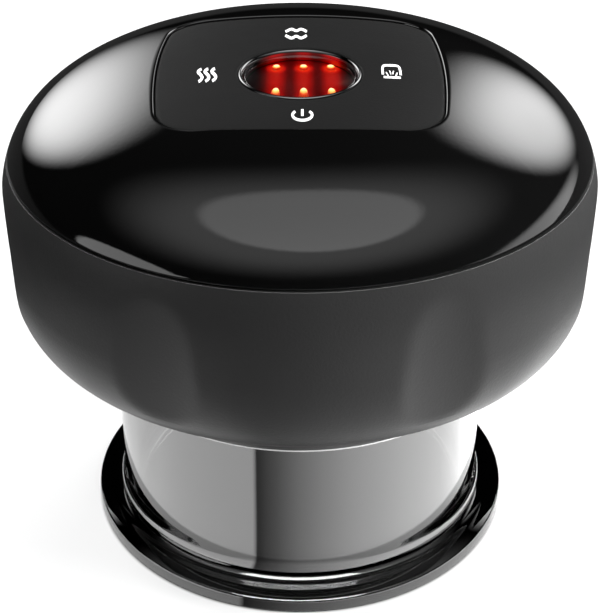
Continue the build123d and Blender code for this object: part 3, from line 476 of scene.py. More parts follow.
class Group(Nodes):
    """A shader node group with number inputs and outputs."""

    def __init__(self, name: str, inputs: dict[str, float], outputs: Sequence[str]) -> None:
        """Open the group.

        Args:
            name: the group's name.
            inputs: input names with their default values.
            outputs: output names.
        """
        super().__init__(bpy.data.node_groups.new(name, "ShaderNodeTree"))
        sockets = self.tree.interface
        for label, value in inputs.items():
            sockets.new_socket(name=label, in_out="INPUT", socket_type="NodeSocketFloat").default_value = value
        for label in outputs:
            sockets.new_socket(name=label, in_out="OUTPUT", socket_type="NodeSocketFloat")
        self.given = self.tree.nodes.new("NodeGroupInput").outputs
        self.end = self.tree.nodes.new("NodeGroupOutput")


class Surface(Nodes):
    """A new material with its main shader."""

    def __init__(self, name: str) -> None:
        """Make the material.

        Args:
            name: the material's name.
        """
        self.material = bpy.data.materials.new(name)
        self.material.use_nodes = True
        super().__init__(self.material.node_tree)
        self.shader = self.tree.nodes["Principled BSDF"]


def surface_group() -> bpy.types.NodeTree:
    """Fine moulded grain, broad drift and fingered patches on a surface.

    Returns:
        The group, with outputs Height, Drift and Smudge.
    """
    group = Group("moulded_surface", {"Grain": 900.0, "Patch": 60.0}, ("Height", "Drift", "Smudge"))
    place = group.add("TexCoord").outputs["Object"]
    fine, broad = group.given["Grain"], group.given["Patch"]
    grain = group.add("TexNoise", "fine grain", Vector=place, Scale=fine, Detail=6.0, Roughness=0.62)
    cells = group.add("TexVoronoi", "spark texture", Vector=place, Scale=fine)
    drift = group.add("TexNoise", "broad drift", Vector=place, Scale=broad, Detail=3.0, Roughness=0.5)
    wider = group.calc("MULTIPLY", broad, 0.45)
    fingers = group.add("TexNoise", "handled patches", Vector=place, Scale=wider, Detail=4.0, Roughness=0.7)
    group.fill(fingers, Distortion=0.6)
    height = group.calc("MULTIPLY_ADD", cells.outputs["Distance"], 0.35, grain.outputs["Fac"])
    smudge = group.fit(fingers.outputs["Fac"], (0.42, 0.68))
    group.fill(group.end, Height=height, Drift=drift.outputs["Fac"], Smudge=smudge)
    return group.tree


def brushed_group() -> bpy.types.NodeTree:
    """Fine lines that run along one direction, as brushing or drawing leaves them.

    Returns:
        The group, with outputs Height and Streak.
    """
    group = Group("brushed_lines", {"Scale": 400.0}, ("Height", "Streak"))
    place = group.add("TexCoord").outputs["Object"]
    along = group.add("Mapping", "lines along x", Vector=place, Scale=(0.04, 1.0, 1.0)).outputs["Vector"]
    lines = group.add("TexNoise", "lines", Vector=along, Scale=group.given["Scale"], Detail=5.0, Roughness=0.7)
    streak = group.fit(lines.outputs["Fac"], (0.3, 0.7))
    group.fill(group.end, Height=lines.outputs["Fac"], Streak=streak)
    return group.tree


class Texture(Enum):
    """Which shared effect a finish uses."""

    MOULDED = "moulded"
    BRUSHED = "brushed"


@dataclass(frozen=True)
class Finish:
    """One surface finish: colour, gloss and the texture that breaks it up."""

    name: str
    colour: Colour
    second: Colour
    roughness: Point
    metallic: float = 0.0
    texture: Texture = Texture.MOULDED
    grain: float = 900.0
    patch: float = 60.0
    depth: float = 0.02
    relief: float = 0.0004
    specular: float = 0.5
    coat: float = 0.0
    coat_roughness: float = 0.05
    sheen: float = 0.0
    transmission: float = 0.0
    glow: float = 0.0
    glow_colour: Colour = (1.0, 0.2, 0.05, 1.0)
    ior: float = 1.5

    def build(self, groups: dict[Texture, bpy.types.NodeTree]) -> Material:
        """Make the material.

        Args:
            groups: the shared node groups by texture.

        Returns:
            The finished material.
        """
        surface = Surface(self.name)
        effect = surface.add("Group", self.name, node_tree=groups[self.texture])
        if self.texture is Texture.MOULDED:
            surface.fill(effect, Grain=self.grain, Patch=self.patch)
            drift, wear = effect.outputs["Drift"], effect.outputs["Smudge"]
        else:
            surface.fill(effect, Scale=self.grain)
            drift = wear = effect.outputs["Streak"]
        bump = surface.add("Bump", "relief", Strength=self.depth, Distance=self.relief)
        surface.fill(bump, Height=effect.outputs["Height"])
        surface.fill(
            surface.shader,
            Base_Color=surface.mix(drift, self.colour, self.second),
            Roughness=surface.fit(wear, end=self.roughness),
            Normal=bump.outputs["Normal"],
            Metallic=self.metallic,
            Specular_IOR_Level=self.specular,
            Coat_Weight=self.coat,
            Coat_Roughness=self.coat_roughness,
            Sheen_Weight=self.sheen,
            Transmission_Weight=self.transmission,
            IOR=self.ior,
            Emission_Strength=self.glow,
            Emission_Color=self.glow_colour,
        )
        return surface.material


def grey(value: float, warmth: float = 0.0) -> Colour:
    """Neutral colour, a little warm or cool."""
    return (value * (1 + warmth), value, value * (1 - warmth), 1.0)


FINISHES: tuple[Finish, ...] = (
    Finish(
        "gloss_shell", grey(0.0015), grey(0.0025), (0.03, 0.075), depth=0.012, grain=1500, patch=35, coat=1.0,
        coat_roughness=0.02,
    ),
    Finish(
        "matte_shell", grey(0.017), grey(0.02), (0.44, 0.52), depth=0.10, grain=2600, patch=45, specular=0.3,
    ),
    # Lighter grey for a few edge bevels: a painted highlight line along them.
    Finish("painted_edge_highlight", grey(0.4), grey(0.46), (0.25, 0.35), depth=0.02, grain=2600, patch=45),
    Finish(
        "panel_plastic", grey(0.0045), grey(0.0056), (0.5, 0.58), depth=0.08, grain=3000, patch=60, specular=0.12,
    ),
    Finish(
        "bright_trim", grey(0.22), grey(0.28), (0.08, 0.16), metallic=1.0, depth=0.02, grain=1200, patch=200,
    ),
    Finish(
        "smoked_lens", (0.85, 0.72, 0.72, 1), (0.8, 0.7, 0.7, 1), (0.02, 0.05), transmission=1.0, depth=0.004,
        grain=900, patch=90, ior=1.49, specular=0.12,
    ),
    Finish("white_plastic", grey(0.7, 0.03), grey(0.62, 0.05), (0.38, 0.5), depth=0.05, grain=1500),
    Finish(
        "amber_lamp", (1.0, 0.6, 0.2, 1), (1.0, 0.7, 0.3, 1), (0.25, 0.4), glow=9.0,
        glow_colour=(1.0, 0.62, 0.14, 1), grain=3000, patch=900,
    ),
    Finish(
        "red_lamp", (0.55, 0.02, 0.015, 1), (0.4, 0.015, 0.012, 1), (0.06, 0.14), transmission=0.6, grain=800,
        depth=0.01,
    ),
    Finish("black_plastic", grey(0.016), grey(0.022), (0.36, 0.5), depth=0.08, grain=2200),
    Finish(
        "green_board", (0.012, 0.11, 0.045, 1), (0.02, 0.15, 0.06, 1), (0.22, 0.36), depth=0.12, grain=500, patch=300,
    ),
    Finish(
        "clear_cup", grey(0.72), grey(0.68), (0.012, 0.03), transmission=1.0, depth=0.002, grain=500, patch=30,
        ior=2.2,
    ),
    Finish("soft_rubber", grey(0.022), grey(0.03), (0.6, 0.75), depth=0.1, grain=1800, sheen=0.05),
    Finish(
        "hose_rubber", grey(0.55, 0.02), grey(0.48, 0.03), (0.35, 0.5), depth=0.03, grain=900, transmission=0.3,
    ),
    Finish("red_wire", (0.42, 0.012, 0.012, 1), (0.34, 0.01, 0.01, 1), (0.35, 0.5), depth=0.04),
    Finish(
        "warm_metal", grey(0.6), grey(0.5), (0.2, 0.38), metallic=1.0, texture=Texture.BRUSHED, grain=900, depth=0.08,
    ),
    Finish("amber_film", (0.5, 0.19, 0.03, 1), (0.42, 0.15, 0.02, 1), (0.12, 0.25), depth=0.05, grain=300),
    Finish(
        "steel", grey(0.52, -0.01), grey(0.42, 0.02), (0.22, 0.4), metallic=1.0, texture=Texture.BRUSHED, grain=1200,
        depth=0.05,
    ),
    Finish("magnet", grey(0.06), grey(0.09), (0.5, 0.7), metallic=0.2, depth=0.3, grain=1400),
    Finish(
        "bronze", (0.6, 0.38, 0.17, 1), (0.5, 0.3, 0.13, 1), (0.3, 0.5), metallic=1.0, depth=0.12, grain=2500,
    ),
    Finish(
        "copper", (0.68, 0.28, 0.12, 1), (0.5, 0.18, 0.08, 1), (0.25, 0.45), metallic=0.9, texture=Texture.BRUSHED,
        grain=2600, depth=0.3,
    ),
    Finish(
        "cell_foil", grey(0.58, -0.02), grey(0.5, -0.02), (0.25, 0.45), metallic=0.9, depth=0.15, grain=260, patch=120,
    ),
    Finish("white_print", grey(0.82), grey(0.76), (0.5, 0.6), depth=0.05, grain=3000, patch=900),
)


@dataclass
class Workshop:
    """Materials and the outer form that every sub-assembly uses."""

    form: OuterForm = field(default_factory=OuterForm)
    materials: dict[str, Material] = field(default_factory=dict)

    def open(self) -> None:
        """Build the shared groups and every finish."""
        groups = {Texture.MOULDED: surface_group(), Texture.BRUSHED: brushed_group()}
        self.materials = {finish.name: finish.build(groups) for finish in FINISHES}
        log.info("%d finishes built", len(self.materials))

    def dress(self, piece: Piece, slot: str, node: str = "", finish: str = "", body: str = "housing") -> Piece:
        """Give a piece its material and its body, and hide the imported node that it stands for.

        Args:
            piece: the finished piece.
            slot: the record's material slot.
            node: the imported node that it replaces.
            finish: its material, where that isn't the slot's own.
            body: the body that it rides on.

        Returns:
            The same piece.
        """
        piece.data.materials.clear()
        piece.data.materials.append(self.materials[finish or slot])
        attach(piece, body)
        if node:
            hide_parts(node)
        log.info("%s: %d faces, on %s", piece.name, len(piece.data.polygons), body)
        return piece

    def dress_frame(self) -> None:
        """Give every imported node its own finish."""
        for part in frame["record"]["subparts"]:
            node = frame["nodes"][part["node"]]
            material = self.materials[part["material_slot"]]
            if node.material_slots:
                for place in node.material_slots:
                    place.material = material
            else:
                node.data.materials.append(material)


def second_finish(piece: Piece, material: Material, chosen: Callable[[Vector, Vector], bool]) -> None:
    """Give some of a piece's faces a material of their own.

    Args:
        piece: the dressed piece.
        material: the faces' material.
        chosen: whether a face belongs, by its middle in millimetres and its normal.
    """
    piece.data.materials.append(material)
    for face in piece.data.polygons:
        if chosen(face.center / MM, face.normal):
            face.material_index = 1


@dataclass
class PanelOutline:
    """Rounded square with bowed sides, in millimetres."""

    half_width: float = 20.3
    half_depth: float = 19.9
    bow: float = 1.4
    corner: float = 6.5
    back: float = -0.5
    side_steps: int = 15
    corner_steps: int = 18

    def points(self, grow: float = 0.0) -> list[Point]:
        """Points of the outline, anticlockwise from the middle of the right side.

        Args:
            grow: how far the outline stands outside its own size.

        Returns:
            Its points.
        """
        wide, deep = self.half_width + grow, self.half_depth + grow
        side, end = wide - self.bow, deep - self.bow
        right = (end**2 + self.bow**2) / (2 * self.bow)
        top = (side**2 + self.bow**2) / (2 * self.bow)
        right_middle, top_middle = wide - right, deep - top
        reach_a, reach_b = right - self.corner, top - self.corner
        span = math.hypot(right_middle, top_middle)
        along = (reach_a**2 - reach_b**2 + span**2) / (2 * span)
        out = math.sqrt(reach_a**2 - along**2)
        ux, uy = -right_middle / span, top_middle / span
        corner_x = right_middle + along * ux - out * uy
        corner_y = along * uy + out * ux
        first = math.degrees(math.atan2(corner_y, corner_x - right_middle))
        second = math.degrees(math.atan2(corner_y - top_middle, corner_x))
        quarter = arc((right_middle, 0), right, 0, first, self.side_steps)
        quarter += arc((corner_x, corner_y), self.corner, first, second, self.corner_steps)[1:]
        quarter += arc((0, top_middle), top, second, 90, self.side_steps)[1:]
        mirrored = [(-x, y) for x, y in reversed(quarter[:-1])]
        upper = quarter + mirrored
        lower = [(x, -y) for x, y in reversed(upper[1:-1])]
        return [(x, y + self.back) for x, y in upper + lower]


def bridged_rings(name: str, inner: Sequence[Point], outer: Sequence[Point], rings: int) -> Piece:
    """Bridge two loops of as many points, the inner one at height 1 and the outer one at height 0.

    Args:
        name: the piece's name.
        inner: points of the inner loop in millimetres.
        outer: points of the outer loop in millimetres.
        rings: how many loops are added between them.

    Returns:
        The bridged band in object mode, its height being the share of the way inwards.
    """
    loops = []
    for height, points in enumerate((outer, inner)):
        put_down()
        bpy.ops.mesh.primitive_circle_add(vertices=len(points), radius=MM)
        loops.append(named(name))
        for vertex, (x, y) in zip(loops[-1].data.vertices, points):
            vertex.co = (x * MM, y * MM, height)
    band = join(*loops)
    with editing(band):
        bpy.ops.mesh.bridge_edge_loops(number_cuts=rings, interpolation="LINEAR")
    return band


def seam_points(outline: Sequence[Point], radius: float, centre: Point = (0.0, 0.0)) -> list[Point]:
    """Points on a circle at the same bearings as an outline's points.

    Args:
        outline: the outline's points.
        radius: the circle's radius.
        centre: its centre, from which the bearings are taken.

    Returns:
        The circle's points.
    """
    bearings = [math.atan2(y - centre[1], x - centre[0]) for x, y in outline]
    return [(centre[0] + radius * math.cos(b), centre[1] + radius * math.sin(b)) for b in bearings]


# Sub-assemblies


@dataclass
class Cover:
    """Glossy dome with the panel's opening, its lip and its ledge."""

    shop: Workshop
    outline: PanelOutline = field(default_factory=PanelOutline)
    panel_gap: float = 0.15
    rings: int = 46
    edge: float = 0.22
    inner_edge: float = 0.15
    lip_depth: float = 2.0
    lip_wall: float = 1.0
    lip_step: float = 2.0
    ledge_width: float = 3.4
    ledge_top: float = 71.55
    ledge_bottom: float = 69.85

    def dome(self) -> Piece:
        """Bridge the seam circle to the panel's opening and lay the band on the dome.

        Returns:
            The dome with its wall.
        """
        form = self.shop.form
        low_turn = form.turn_at_height(form.seam + form.seam_gap / 2)
        low_radius = form.crown_point(low_turn)[0]
        opening = self.outline.points(self.panel_gap)
        dome = bridged_rings("cover_dome", opening, seam_points(opening, low_radius), self.rings)
        for vertex in dome.data.vertices:
            x, y, share = vertex.co.x / MM, vertex.co.y / MM, vertex.co.z
            radius = math.hypot(x, y)
            rim = radius if share > 1 - TINY else (radius - low_radius * (1 - share)) / max(share, TINY)
            rim_turn = form.turn_at_radius(rim) if share > TINY else low_turn
            r, z = form.crown_point(low_turn + (rim_turn - low_turn) * share)
            vertex.co = (x / radius * r * MM, y / radius * r * MM, z * MM)
        face_up(dome)
        apply_modifier(dome, "SOLIDIFY", thickness=form.wall * MM, offset=-1.0, use_even_offset=True)
        bevel(dome, self.edge, degrees=50)
        return smooth(dome, 35)

    def inside(self) -> Piece:
        """Lip that drops into the body, and the ledge under the panel.

        Returns:
            Both rings as one mesh.
        """
        form = self.shop.form
        low = form.seam + form.seam_gap / 2
        outer = form.crown_point(form.turn_at_height(low))[0] - self.lip_step + self.lip_wall / 2
        inner, bottom, top = outer - self.lip_wall, low - self.lip_depth, low + form.wall
        lip = spun("cover_lip", [(inner, bottom), (outer, bottom), (outer, top), (inner, top)], 120)
        rim, bore = self.outline.points(self.panel_gap), self.outline.points(-self.ledge_width)
        ledge = bridged_rings("cover_ledge", bore, rim, 0)
        for vertex in ledge.data.vertices:
            vertex.co.z = self.ledge_top * MM
        tidy_mesh(ledge)
        apply_modifier(ledge, "SOLIDIFY", thickness=(self.ledge_top - self.ledge_bottom) * MM, offset=-1.0)
        for ring in (lip, ledge):
            bevel(ring, self.inner_edge, 2)
        return smooth(join(lip, ledge))

    def build(self) -> None:
        """Build and dress the cover."""
        self.shop.dress(self.dome(), "gloss_shell", "top_cover")
        self.shop.dress(self.inside(), "gloss_shell", "top_cover", finish="black_plastic")


@dataclass(frozen=True)
class Symbol:
    """Printed symbol: its middle, the size of its drawing unit across and along, and its strokes."""

    name: str
    middle: Point
    unit: Point
    strokes: tuple[tuple[float, tuple[Point, ...]], ...]


RING_TURNS = [math.radians(turn) for turn in range(-223, 44, 19)]
WAVE_ABOVE = ((-10.6, 1.9), (-8.4, 3.0), (-4.2, 5.0), (0.1, 1.9), (4.5, 5.0), (8.2, 3.2), (10.6, 1.9))
WAVE_BELOW = tuple((x, -y) for x, y in WAVE_ABOVE)
HEAT_WAVE = ((0.6, 5.7), (-2.0, 4.6), (-2.6, 2.9), (1.2, -0.2), (2.7, -2.3), (1.6, -4.4), (-0.6, -5.8))
CUP_SHELL = ((-9.1, -3.6), (-9.1, 2.8), (-7.6, 6.3), (0.0, 6.3), (7.4, 6.3), (8.9, 2.8), (8.9, -3.6))

SYMBOLS: tuple[Symbol, ...] = (
    Symbol("icon_vacuum", (-0.58, 11.43), (0.148, 0.433), ((2.5, WAVE_ABOVE), (2.5, WAVE_BELOW))),
    Symbol(
        "icon_heat",
        (-13.06, -3.7),
        (0.14, 0.366),
        tuple((2.8, tuple((x + shift, y) for x, y in HEAT_WAVE)) for shift in (-6.8, 0.0, 6.8)),
    ),
    Symbol(
        "icon_power",
        (0.3, -16.59),
        (0.133, 0.27),
        (
            (2.6, tuple((9.9 * math.cos(turn), 5.3 * math.sin(turn)) for turn in RING_TURNS)),
            (2.6, ((0.0, 5.7), (0.0, 2.5), (0.0, -0.9))),
        ),
    ),
    Symbol(
        "icon_cup",
        (12.87, -2.48),
        (0.14, 0.328),
        (
            (2.4, CUP_SHELL),
            (2.2, ((-8.4, -6.3), (0.0, -6.3), (8.6, -6.3))),
            (1.2, ((-5.6, -1.2), (-4.6, -3.0), (-3.8, -4.8))),
            (1.2, ((-2.0, 0.4), (-1.4, -1.2), (-0.9, -3.0))),
            (1.2, ((2.0, 0.4), (1.4, -1.2), (0.9, -3.0))),
            (1.2, ((5.6, -1.2), (4.6, -3.0), (3.8, -4.8))),
        ),
    ),
)


@dataclass
class Icons:
    """White printed symbols on the panel, drawn as thin raised strokes."""

    shop: Workshop
    sink: float = 0.3
    lift: float = 0.03
    print_height: float = 0.07

    def stroke(self, symbol: Symbol, width: float, points: Sequence[Point]) -> Piece:
        """Lay one printed stroke on the panel.

        Args:
            symbol: the symbol it belongs to.
            width: its width in drawing units.
            points: its points in drawing units, from the symbol's middle.

        Returns:
            The stroke as a mesh.
        """
        across, along = symbol.unit
        put_down()
        bpy.ops.curve.primitive_nurbs_path_add(radius=MM)
        path = bpy.context.active_object
        path.data.splines.clear()
        spline = path.data.splines.new("NURBS")
        spline.points.add(len(points) - 1)
        for place, (x, y) in zip(spline.points, points):
            place.co = (x * across * MM, y * across * MM, 0, 1)
        spline.order_u = 3
        spline.use_endpoint_u = True
        spline.resolution_u = 8
        path.data.dimensions = "3D"
        path.data.bevel_depth = width * across / 2 * MM
        path.data.bevel_resolution = 2
        path.data.use_fill_caps = True
        bpy.ops.object.convert(target="MESH")
        piece = named(symbol.name)
        half = width * across / 2
        for vertex in piece.data.vertices:
            x = symbol.middle[0] + vertex.co.x / MM
            y = symbol.middle[1] + vertex.co.y / MM * along / across
            rise = self.lift + self.print_height / 2 * vertex.co.z / MM / half
            vertex.co = (x * MM, y * MM, (self.shop.form.height(x, y, self.sink) + rise) * MM)
        return piece

    def build(self) -> None:
        """Print every symbol."""
        for symbol in SYMBOLS:
            strokes = [self.stroke(symbol, width, points) for width, points in symbol.strokes]
            piece = smooth(join(*strokes), 50)
            self.shop.dress(piece, "white_plastic", finish="white_print")


@dataclass
class TouchPanel:
    """Matte panel let into the dome, with a bevelled edge and the window's hole."""

    shop: Workshop
    outline: PanelOutline = field(default_factory=PanelOutline)
    window: Point = (0.0, -3.3)
    window_radius: float = 8.75
    sink: float = 0.3
    floor: float = 71.6
    rings: int = 18
    edge: float = 0.3

    def build(self) -> None:
        """Bridge the window's hole to the outline and lay the band under the dome."""
        rim = self.outline.points()
        panel = bridged_rings("touch_panel", seam_points(rim, self.window_radius, self.window), rim, self.rings)
        for vertex in panel.data.vertices:
            vertex.co.z = self.shop.form.height(vertex.co.x / MM, vertex.co.y / MM, self.sink) * MM
        face_up(panel)
        with editing(panel):
            bpy.ops.mesh.extrude_region_move(TRANSFORM_OT_translate={"value": (0, 0, -MM)})
        for vertex in panel.data.vertices:
            if vertex.select:
                vertex.co.z = self.floor * MM
        tidy_mesh(panel)
        bevel(panel, self.edge, degrees=60)
        self.shop.dress(smooth(panel, 25), "panel_plastic", "control_panel")


@dataclass
class Display:
    """Round window: bright ring, smoked lens, plate with a painted red lamp glow, and six lamps."""

    shop: Workshop
    middle: Point = (0.0, -3.3)
    radius: float = 8.7
    wall: float = 0.7
    ledge: float = 0.5
    floor: float = 71.6
    top: float = 73.9
    crest: float = 0.3
    slope: float = 0.05
    shoulder: Point = (0.28, 0.02)
    edge: float = 0.06
    lens_bottom: float = 72.3
    lens_top: float = 73.45
    lens_round: float = 0.25
    lens_rise: float = 0.12
    lens_gap: float = 0.05
    board: float = 69.8
    plate_gap: float = 0.1
    lamp_middle: Point = (0.5, -2.3)
    lamp_pitch: Point = (3.8, 7.6)
    lamp_radius: float = 0.65
    lamp_top: float = 72.1
    lamp_round: float = 0.6
    hot_share: float = 0.6
    lamp_strength: float = 3.2
    well_radius: float = 0.8
    well_depth: float = 2.0
    glow_reach: float = 3.0
    glow_squash: float = 0.3
    glow_peak: float = 0.4
    glow_strength: float = 1.1
    halo_reach: float = 1.9

    def lamp_places(self) -> list[Point]:
        """Middles of the six lamps in plan."""
        (across, along), (x, y) = self.lamp_pitch, self.lamp_middle
        return [(x + column * across, y + row * along) for column in (-1, 0, 1) for row in (-0.5, 0.5)]

    def ring(self) -> Piece:
        """Spin the ring with a rounded crest and an inner slope.

        Returns:
            The ring.
        """
        inner, low = self.radius - self.wall, self.top - self.crest
        crest = arc((self.radius - self.crest, low), self.crest, 0, 90, 5)
        across, drop = self.shoulder
        slope = [(inner + across, self.top - drop), (inner + self.slope, low), (inner, self.lens_bottom)]
        outline = [(inner - self.ledge, self.floor), (self.radius, self.floor)] + crest + slope
        outline.append((inner - self.ledge, self.lens_bottom))
        ring = spun("window_ring", outline, 144, self.middle)
        bevel(ring, self.edge, 2)
        return smooth(ring, 40)

    def lens(self) -> Piece:
        """Spin the lens with a rounded edge.

        Returns:
            The lens.
        """
        reach, soft = self.radius - self.wall - self.lens_gap, self.lens_round
        edge = arc((reach - soft, self.lens_top - soft), soft, 0, 90, 4)
        outline = [(0, self.lens_bottom), (reach, self.lens_bottom)] + edge + [(0, self.lens_top + self.lens_rise)]
        return smooth(spun("window_lens", outline, 144, self.middle, closed=False), 40)

    def lamps(self) -> Piece:
        """Spin the six round-topped lamps.

        Returns:
            The lamps as one mesh.
        """
        reach, top, soft = self.lamp_radius, self.lamp_top, self.lamp_round
        crest = arc((reach - soft, top - soft), soft, 0, 90, 6)
        outline = [(0, self.board), (reach, self.board)] + crest + [(0, top)]
        made = [spun("display_lamp", outline, 32, place, closed=False) for place in self.lamp_places()]
        return smooth(join(*made), 40)

    def lamp_material(self) -> Material:
        """Clear-nosed lamp, white-hot at its crest and orange down its side.

        Returns:
            The material.
        """
        surface = Surface("amber_lamp_lit")
        place = surface.add("TexCoord").outputs["Object"]
        height = surface.add("SeparateXYZ", Vector=place).outputs["Z"]
        nose = ((self.lamp_top - self.lamp_round * self.hot_share) * MM, self.lamp_top * MM)
        heat = surface.ramp(
            surface.fit(height, nose), (0.0, (0.16, 0.0, 0.0, 1)), (0.3, (0.45, 0.03, 0.004, 1)),
            (0.65, (1.0, 0.55, 0.12, 1)), (1.0, (1.0, 0.85, 0.45, 1)),
        )
        surface.fill(surface.shader, Emission_Color=heat, Emission_Strength=self.lamp_strength)
        surface.fill(surface.shader, Base_Color=(0.8, 0.4, 0.1, 1), Roughness=0.3)
        return surface.material

    def painted_glow_material(self) -> Material:
        """Dark plate with the lamps' red light painted on it as a glow round each lamp.

        Returns:
            The material.
        """
        surface = Surface("painted_glow_plate")
        # Painted light: emission that fades with distance from each lamp's middle.
        place = surface.add("TexCoord").outputs["Object"]
        total: Value = 0.0
        for stretch, reach, peak in ((self.glow_squash, self.glow_reach, self.glow_peak), (1.0, self.halo_reach, 1.0)):
            spread = surface.measure("MULTIPLY", place, (1.0, stretch, 0.0), output="Vector")
            for x, y in self.lamp_places():
                away = surface.measure("DISTANCE", spread, (x * MM, y * stretch * MM, 0.0))
                fade = surface.fit(away, (0.0, reach * MM), (peak, 0.0), "SMOOTHERSTEP")
                total = surface.calc("ADD", total, fade)
        glow = surface.ramp(
            total, (0.0, (0.0, 0.0, 0.0, 1)), (0.2, (0.1, 0.0, 0.0, 1)), (0.5, (0.55, 0.0, 0.0, 1)),
            (1.0, (1.0, 0.03, 0.006, 1)),
        )
        surface.fill(surface.shader, Emission_Color=glow, Emission_Strength=self.glow_strength)
        surface.fill(surface.shader, Base_Color=grey(0.004), Roughness=0.6)
        return surface.material

    def plate(self) -> Piece:
        """Plate under the lens, with a round well over each lamp.

        Returns:
            The plate.
        """
        reach, top = self.radius - self.wall - self.ledge - self.plate_gap, self.floor - self.plate_gap
        outline = [(0, self.board), (reach, self.board), (reach, top), (0, top)]
        plate = spun("painted_glow_plate", outline, 96, self.middle, closed=False)
        for x, y in self.lamp_places():
            put_down()
            place = (x * MM, y * MM, self.floor * MM)
            depth = 2 * self.well_depth * MM
            bpy.ops.mesh.primitive_cylinder_add(vertices=32, radius=self.well_radius * MM, depth=depth, location=place)
            bpy.ops.object.transform_apply(location=True)
            cut(plate, named("well"))
        bevel(plate, self.edge, 2, 60)
        return smooth(plate)

    def build(self) -> None:
        """Build and dress the window, with the painted lamp glow on the plate and also on the ring's inner wall."""
        shop = self.shop
        shop.materials["lit_lamp"], shop.materials["glow"] = self.lamp_material(), self.painted_glow_material()
        ring = shop.dress(self.ring(), "bright_trim", "window_bezel")
        middle, reach = Vector((*self.middle, 0)), self.radius - self.wall + self.edge
        top = self.lens_top - self.plate_gap
        # The ring's inner wall below the lens top gets the painted lamp glow.
        second_finish(ring, shop.materials["glow"], lambda at, _: (at - middle).xy.length < reach and at.z < top)
        shop.dress(self.lens(), "smoked_lens", "display_window")
        shop.dress(self.lamps(), "amber_lamp", "display_leds", finish="lit_lamp")
        # The plate gets the painted red glow round each lamp.
        shop.dress(self.plate(), "white_plastic", "light_guide", finish="glow")


@dataclass
class Body:
    """Matte lower shell with finger grips and the charging port's opening."""

    shop: Workshop
    steps: int = 420
    belly_steps: int = 26
    crown_steps: int = 12
    longest: float = 0.8
    wall: float = 2.2
    grip_places: int = 7
    grip_height: float = 49.5
    grip_depth: float = 1.0
    grip_soft: float = 0.35
    scoop_radius: float = 27.0
    lean: float = 2.7
    port_height: float = 46.6
    port_floor: float = 42.6
    port_depth: float = 6.0
    overrun: float = 4.0
    seam_rise: float = 0.3
    recess: Point = (12.6, 6.8)
    socket: Point = (9.34, 3.66)
    edge: float = 0.25

    def outline(self, inset: float) -> list[Point]:
        """Section of the shell from its foot to the seam, dense on the outer face.

        Args:
            inset: distance inside the outer face.

        Returns:
            Its points.
        """
        form = self.shop.form
        last = form.turn_at_height(form.seam - form.seam_gap / 2, inset)
        belly = [i / self.belly_steps for i in range(self.belly_steps, -1, -1)]
        points = [form.belly_point(math.pi / 2 * share, inset) for share in belly]
        points += [form.crown_point(last * i / self.crown_steps, inset) for i in range(1, self.crown_steps + 1)]
        if inset:
            return points
        dense = [points[0]]
        for start, end in zip(points, points[1:]):
            pieces = math.ceil(math.dist(start, end) / self.longest)
            for i in range(1, pieces + 1):
                dense.append(tuple(a + (b - a) * i / pieces for a, b in zip(start, end)))
        return dense

    def slot(self, name: str, size: Point, start: float, end: float) -> Piece:
        """Upright stadium prism along y.

        Args:
            name: the tool's name.
            size: its width and height.
            start: its first place along y.
            end: its last place along y.

        Returns:
            The closed prism.
        """
        radius = size[1] / 2
        half = size[0] / 2 - radius
        ring = arc((half, 0), radius, -90, 90, 20) + arc((-half, 0), radius, 90, 270, 20)
        put_down()
        bpy.ops.mesh.primitive_circle_add(vertices=len(ring), radius=MM, fill_type="NGON")
        tool = named(name)
        for vertex, (x, z) in zip(tool.data.vertices, ring):
            vertex.co = (x * MM, start * MM, (z + self.port_height) * MM)
        with editing(tool):
            bpy.ops.mesh.extrude_region_move(TRANSFORM_OT_translate={"value": (0, (end - start) * MM, 0)})
        return tidy_mesh(tool)

    def press_grips(self, shell: Piece) -> None:
        """Press the finger grips into the outer face with soft edges.

        Args:
            shell: the spun shell.
        """
        reach = self.shop.form.radius - self.grip_depth + self.scoop_radius
        slope = math.tan(math.radians(self.lean))
        for vertex in shell.data.vertices:
            radius, turn = math.hypot(vertex.co.x, vertex.co.y) / MM, math.atan2(vertex.co.y, vertex.co.x)
            share = (math.degrees(turn) - 90) / 360 * self.grip_places
            place = round(share)
            if place % self.grip_places == 0:
                continue
            aside = math.radians((share - place) * 360 / self.grip_places)
            middle = reach + (vertex.co.z / MM - self.grip_height) * slope
            if abs(middle * math.sin(aside)) >= self.scoop_radius:
                continue
            scoop = middle * math.cos(aside) - math.sqrt(self.scoop_radius**2 - (middle * math.sin(aside)) ** 2)
            blend = max(0.0, self.grip_soft - abs(radius - scoop)) / self.grip_soft
            pressed = min(radius, scoop) - blend**2 * self.grip_soft / 4
            if pressed < radius:
                vertex.co.x *= pressed / radius
                vertex.co.y *= pressed / radius

    def build(self) -> None:
        """Spin the shell, press the grips, cut the port and dress it."""
        form = self.shop.form
        shell = spun("grip_shell", self.outline(0) + self.outline(self.wall)[::-1], self.steps)
        self.press_grips(shell)
        outside = self.port_floor + self.overrun
        cut(shell, self.slot("port_recess", self.recess, self.port_floor, outside))
        cut(shell, self.slot("port_socket", self.socket, self.port_floor - self.port_depth, outside))
        bevel(shell, self.edge, degrees=45)
        smooth(shell, 9)
        apply_modifier(shell, "WEIGHTED_NORMAL", keep_sharp=True, weight=50)
        self.shop.dress(shell, "matte_shell", "body_shell")
        seam, inner = form.seam - form.seam_gap / 2 - self.edge, form.radius - self.wall
        # The seam's outer top bevel gets the lighter grey: a painted highlight line.
        painted_highlight = self.shop.materials["painted_edge_highlight"]
        second_finish(shell, painted_highlight, lambda at, up: at.z > seam and up.z > self.seam_rise and at.xy.length > inner)


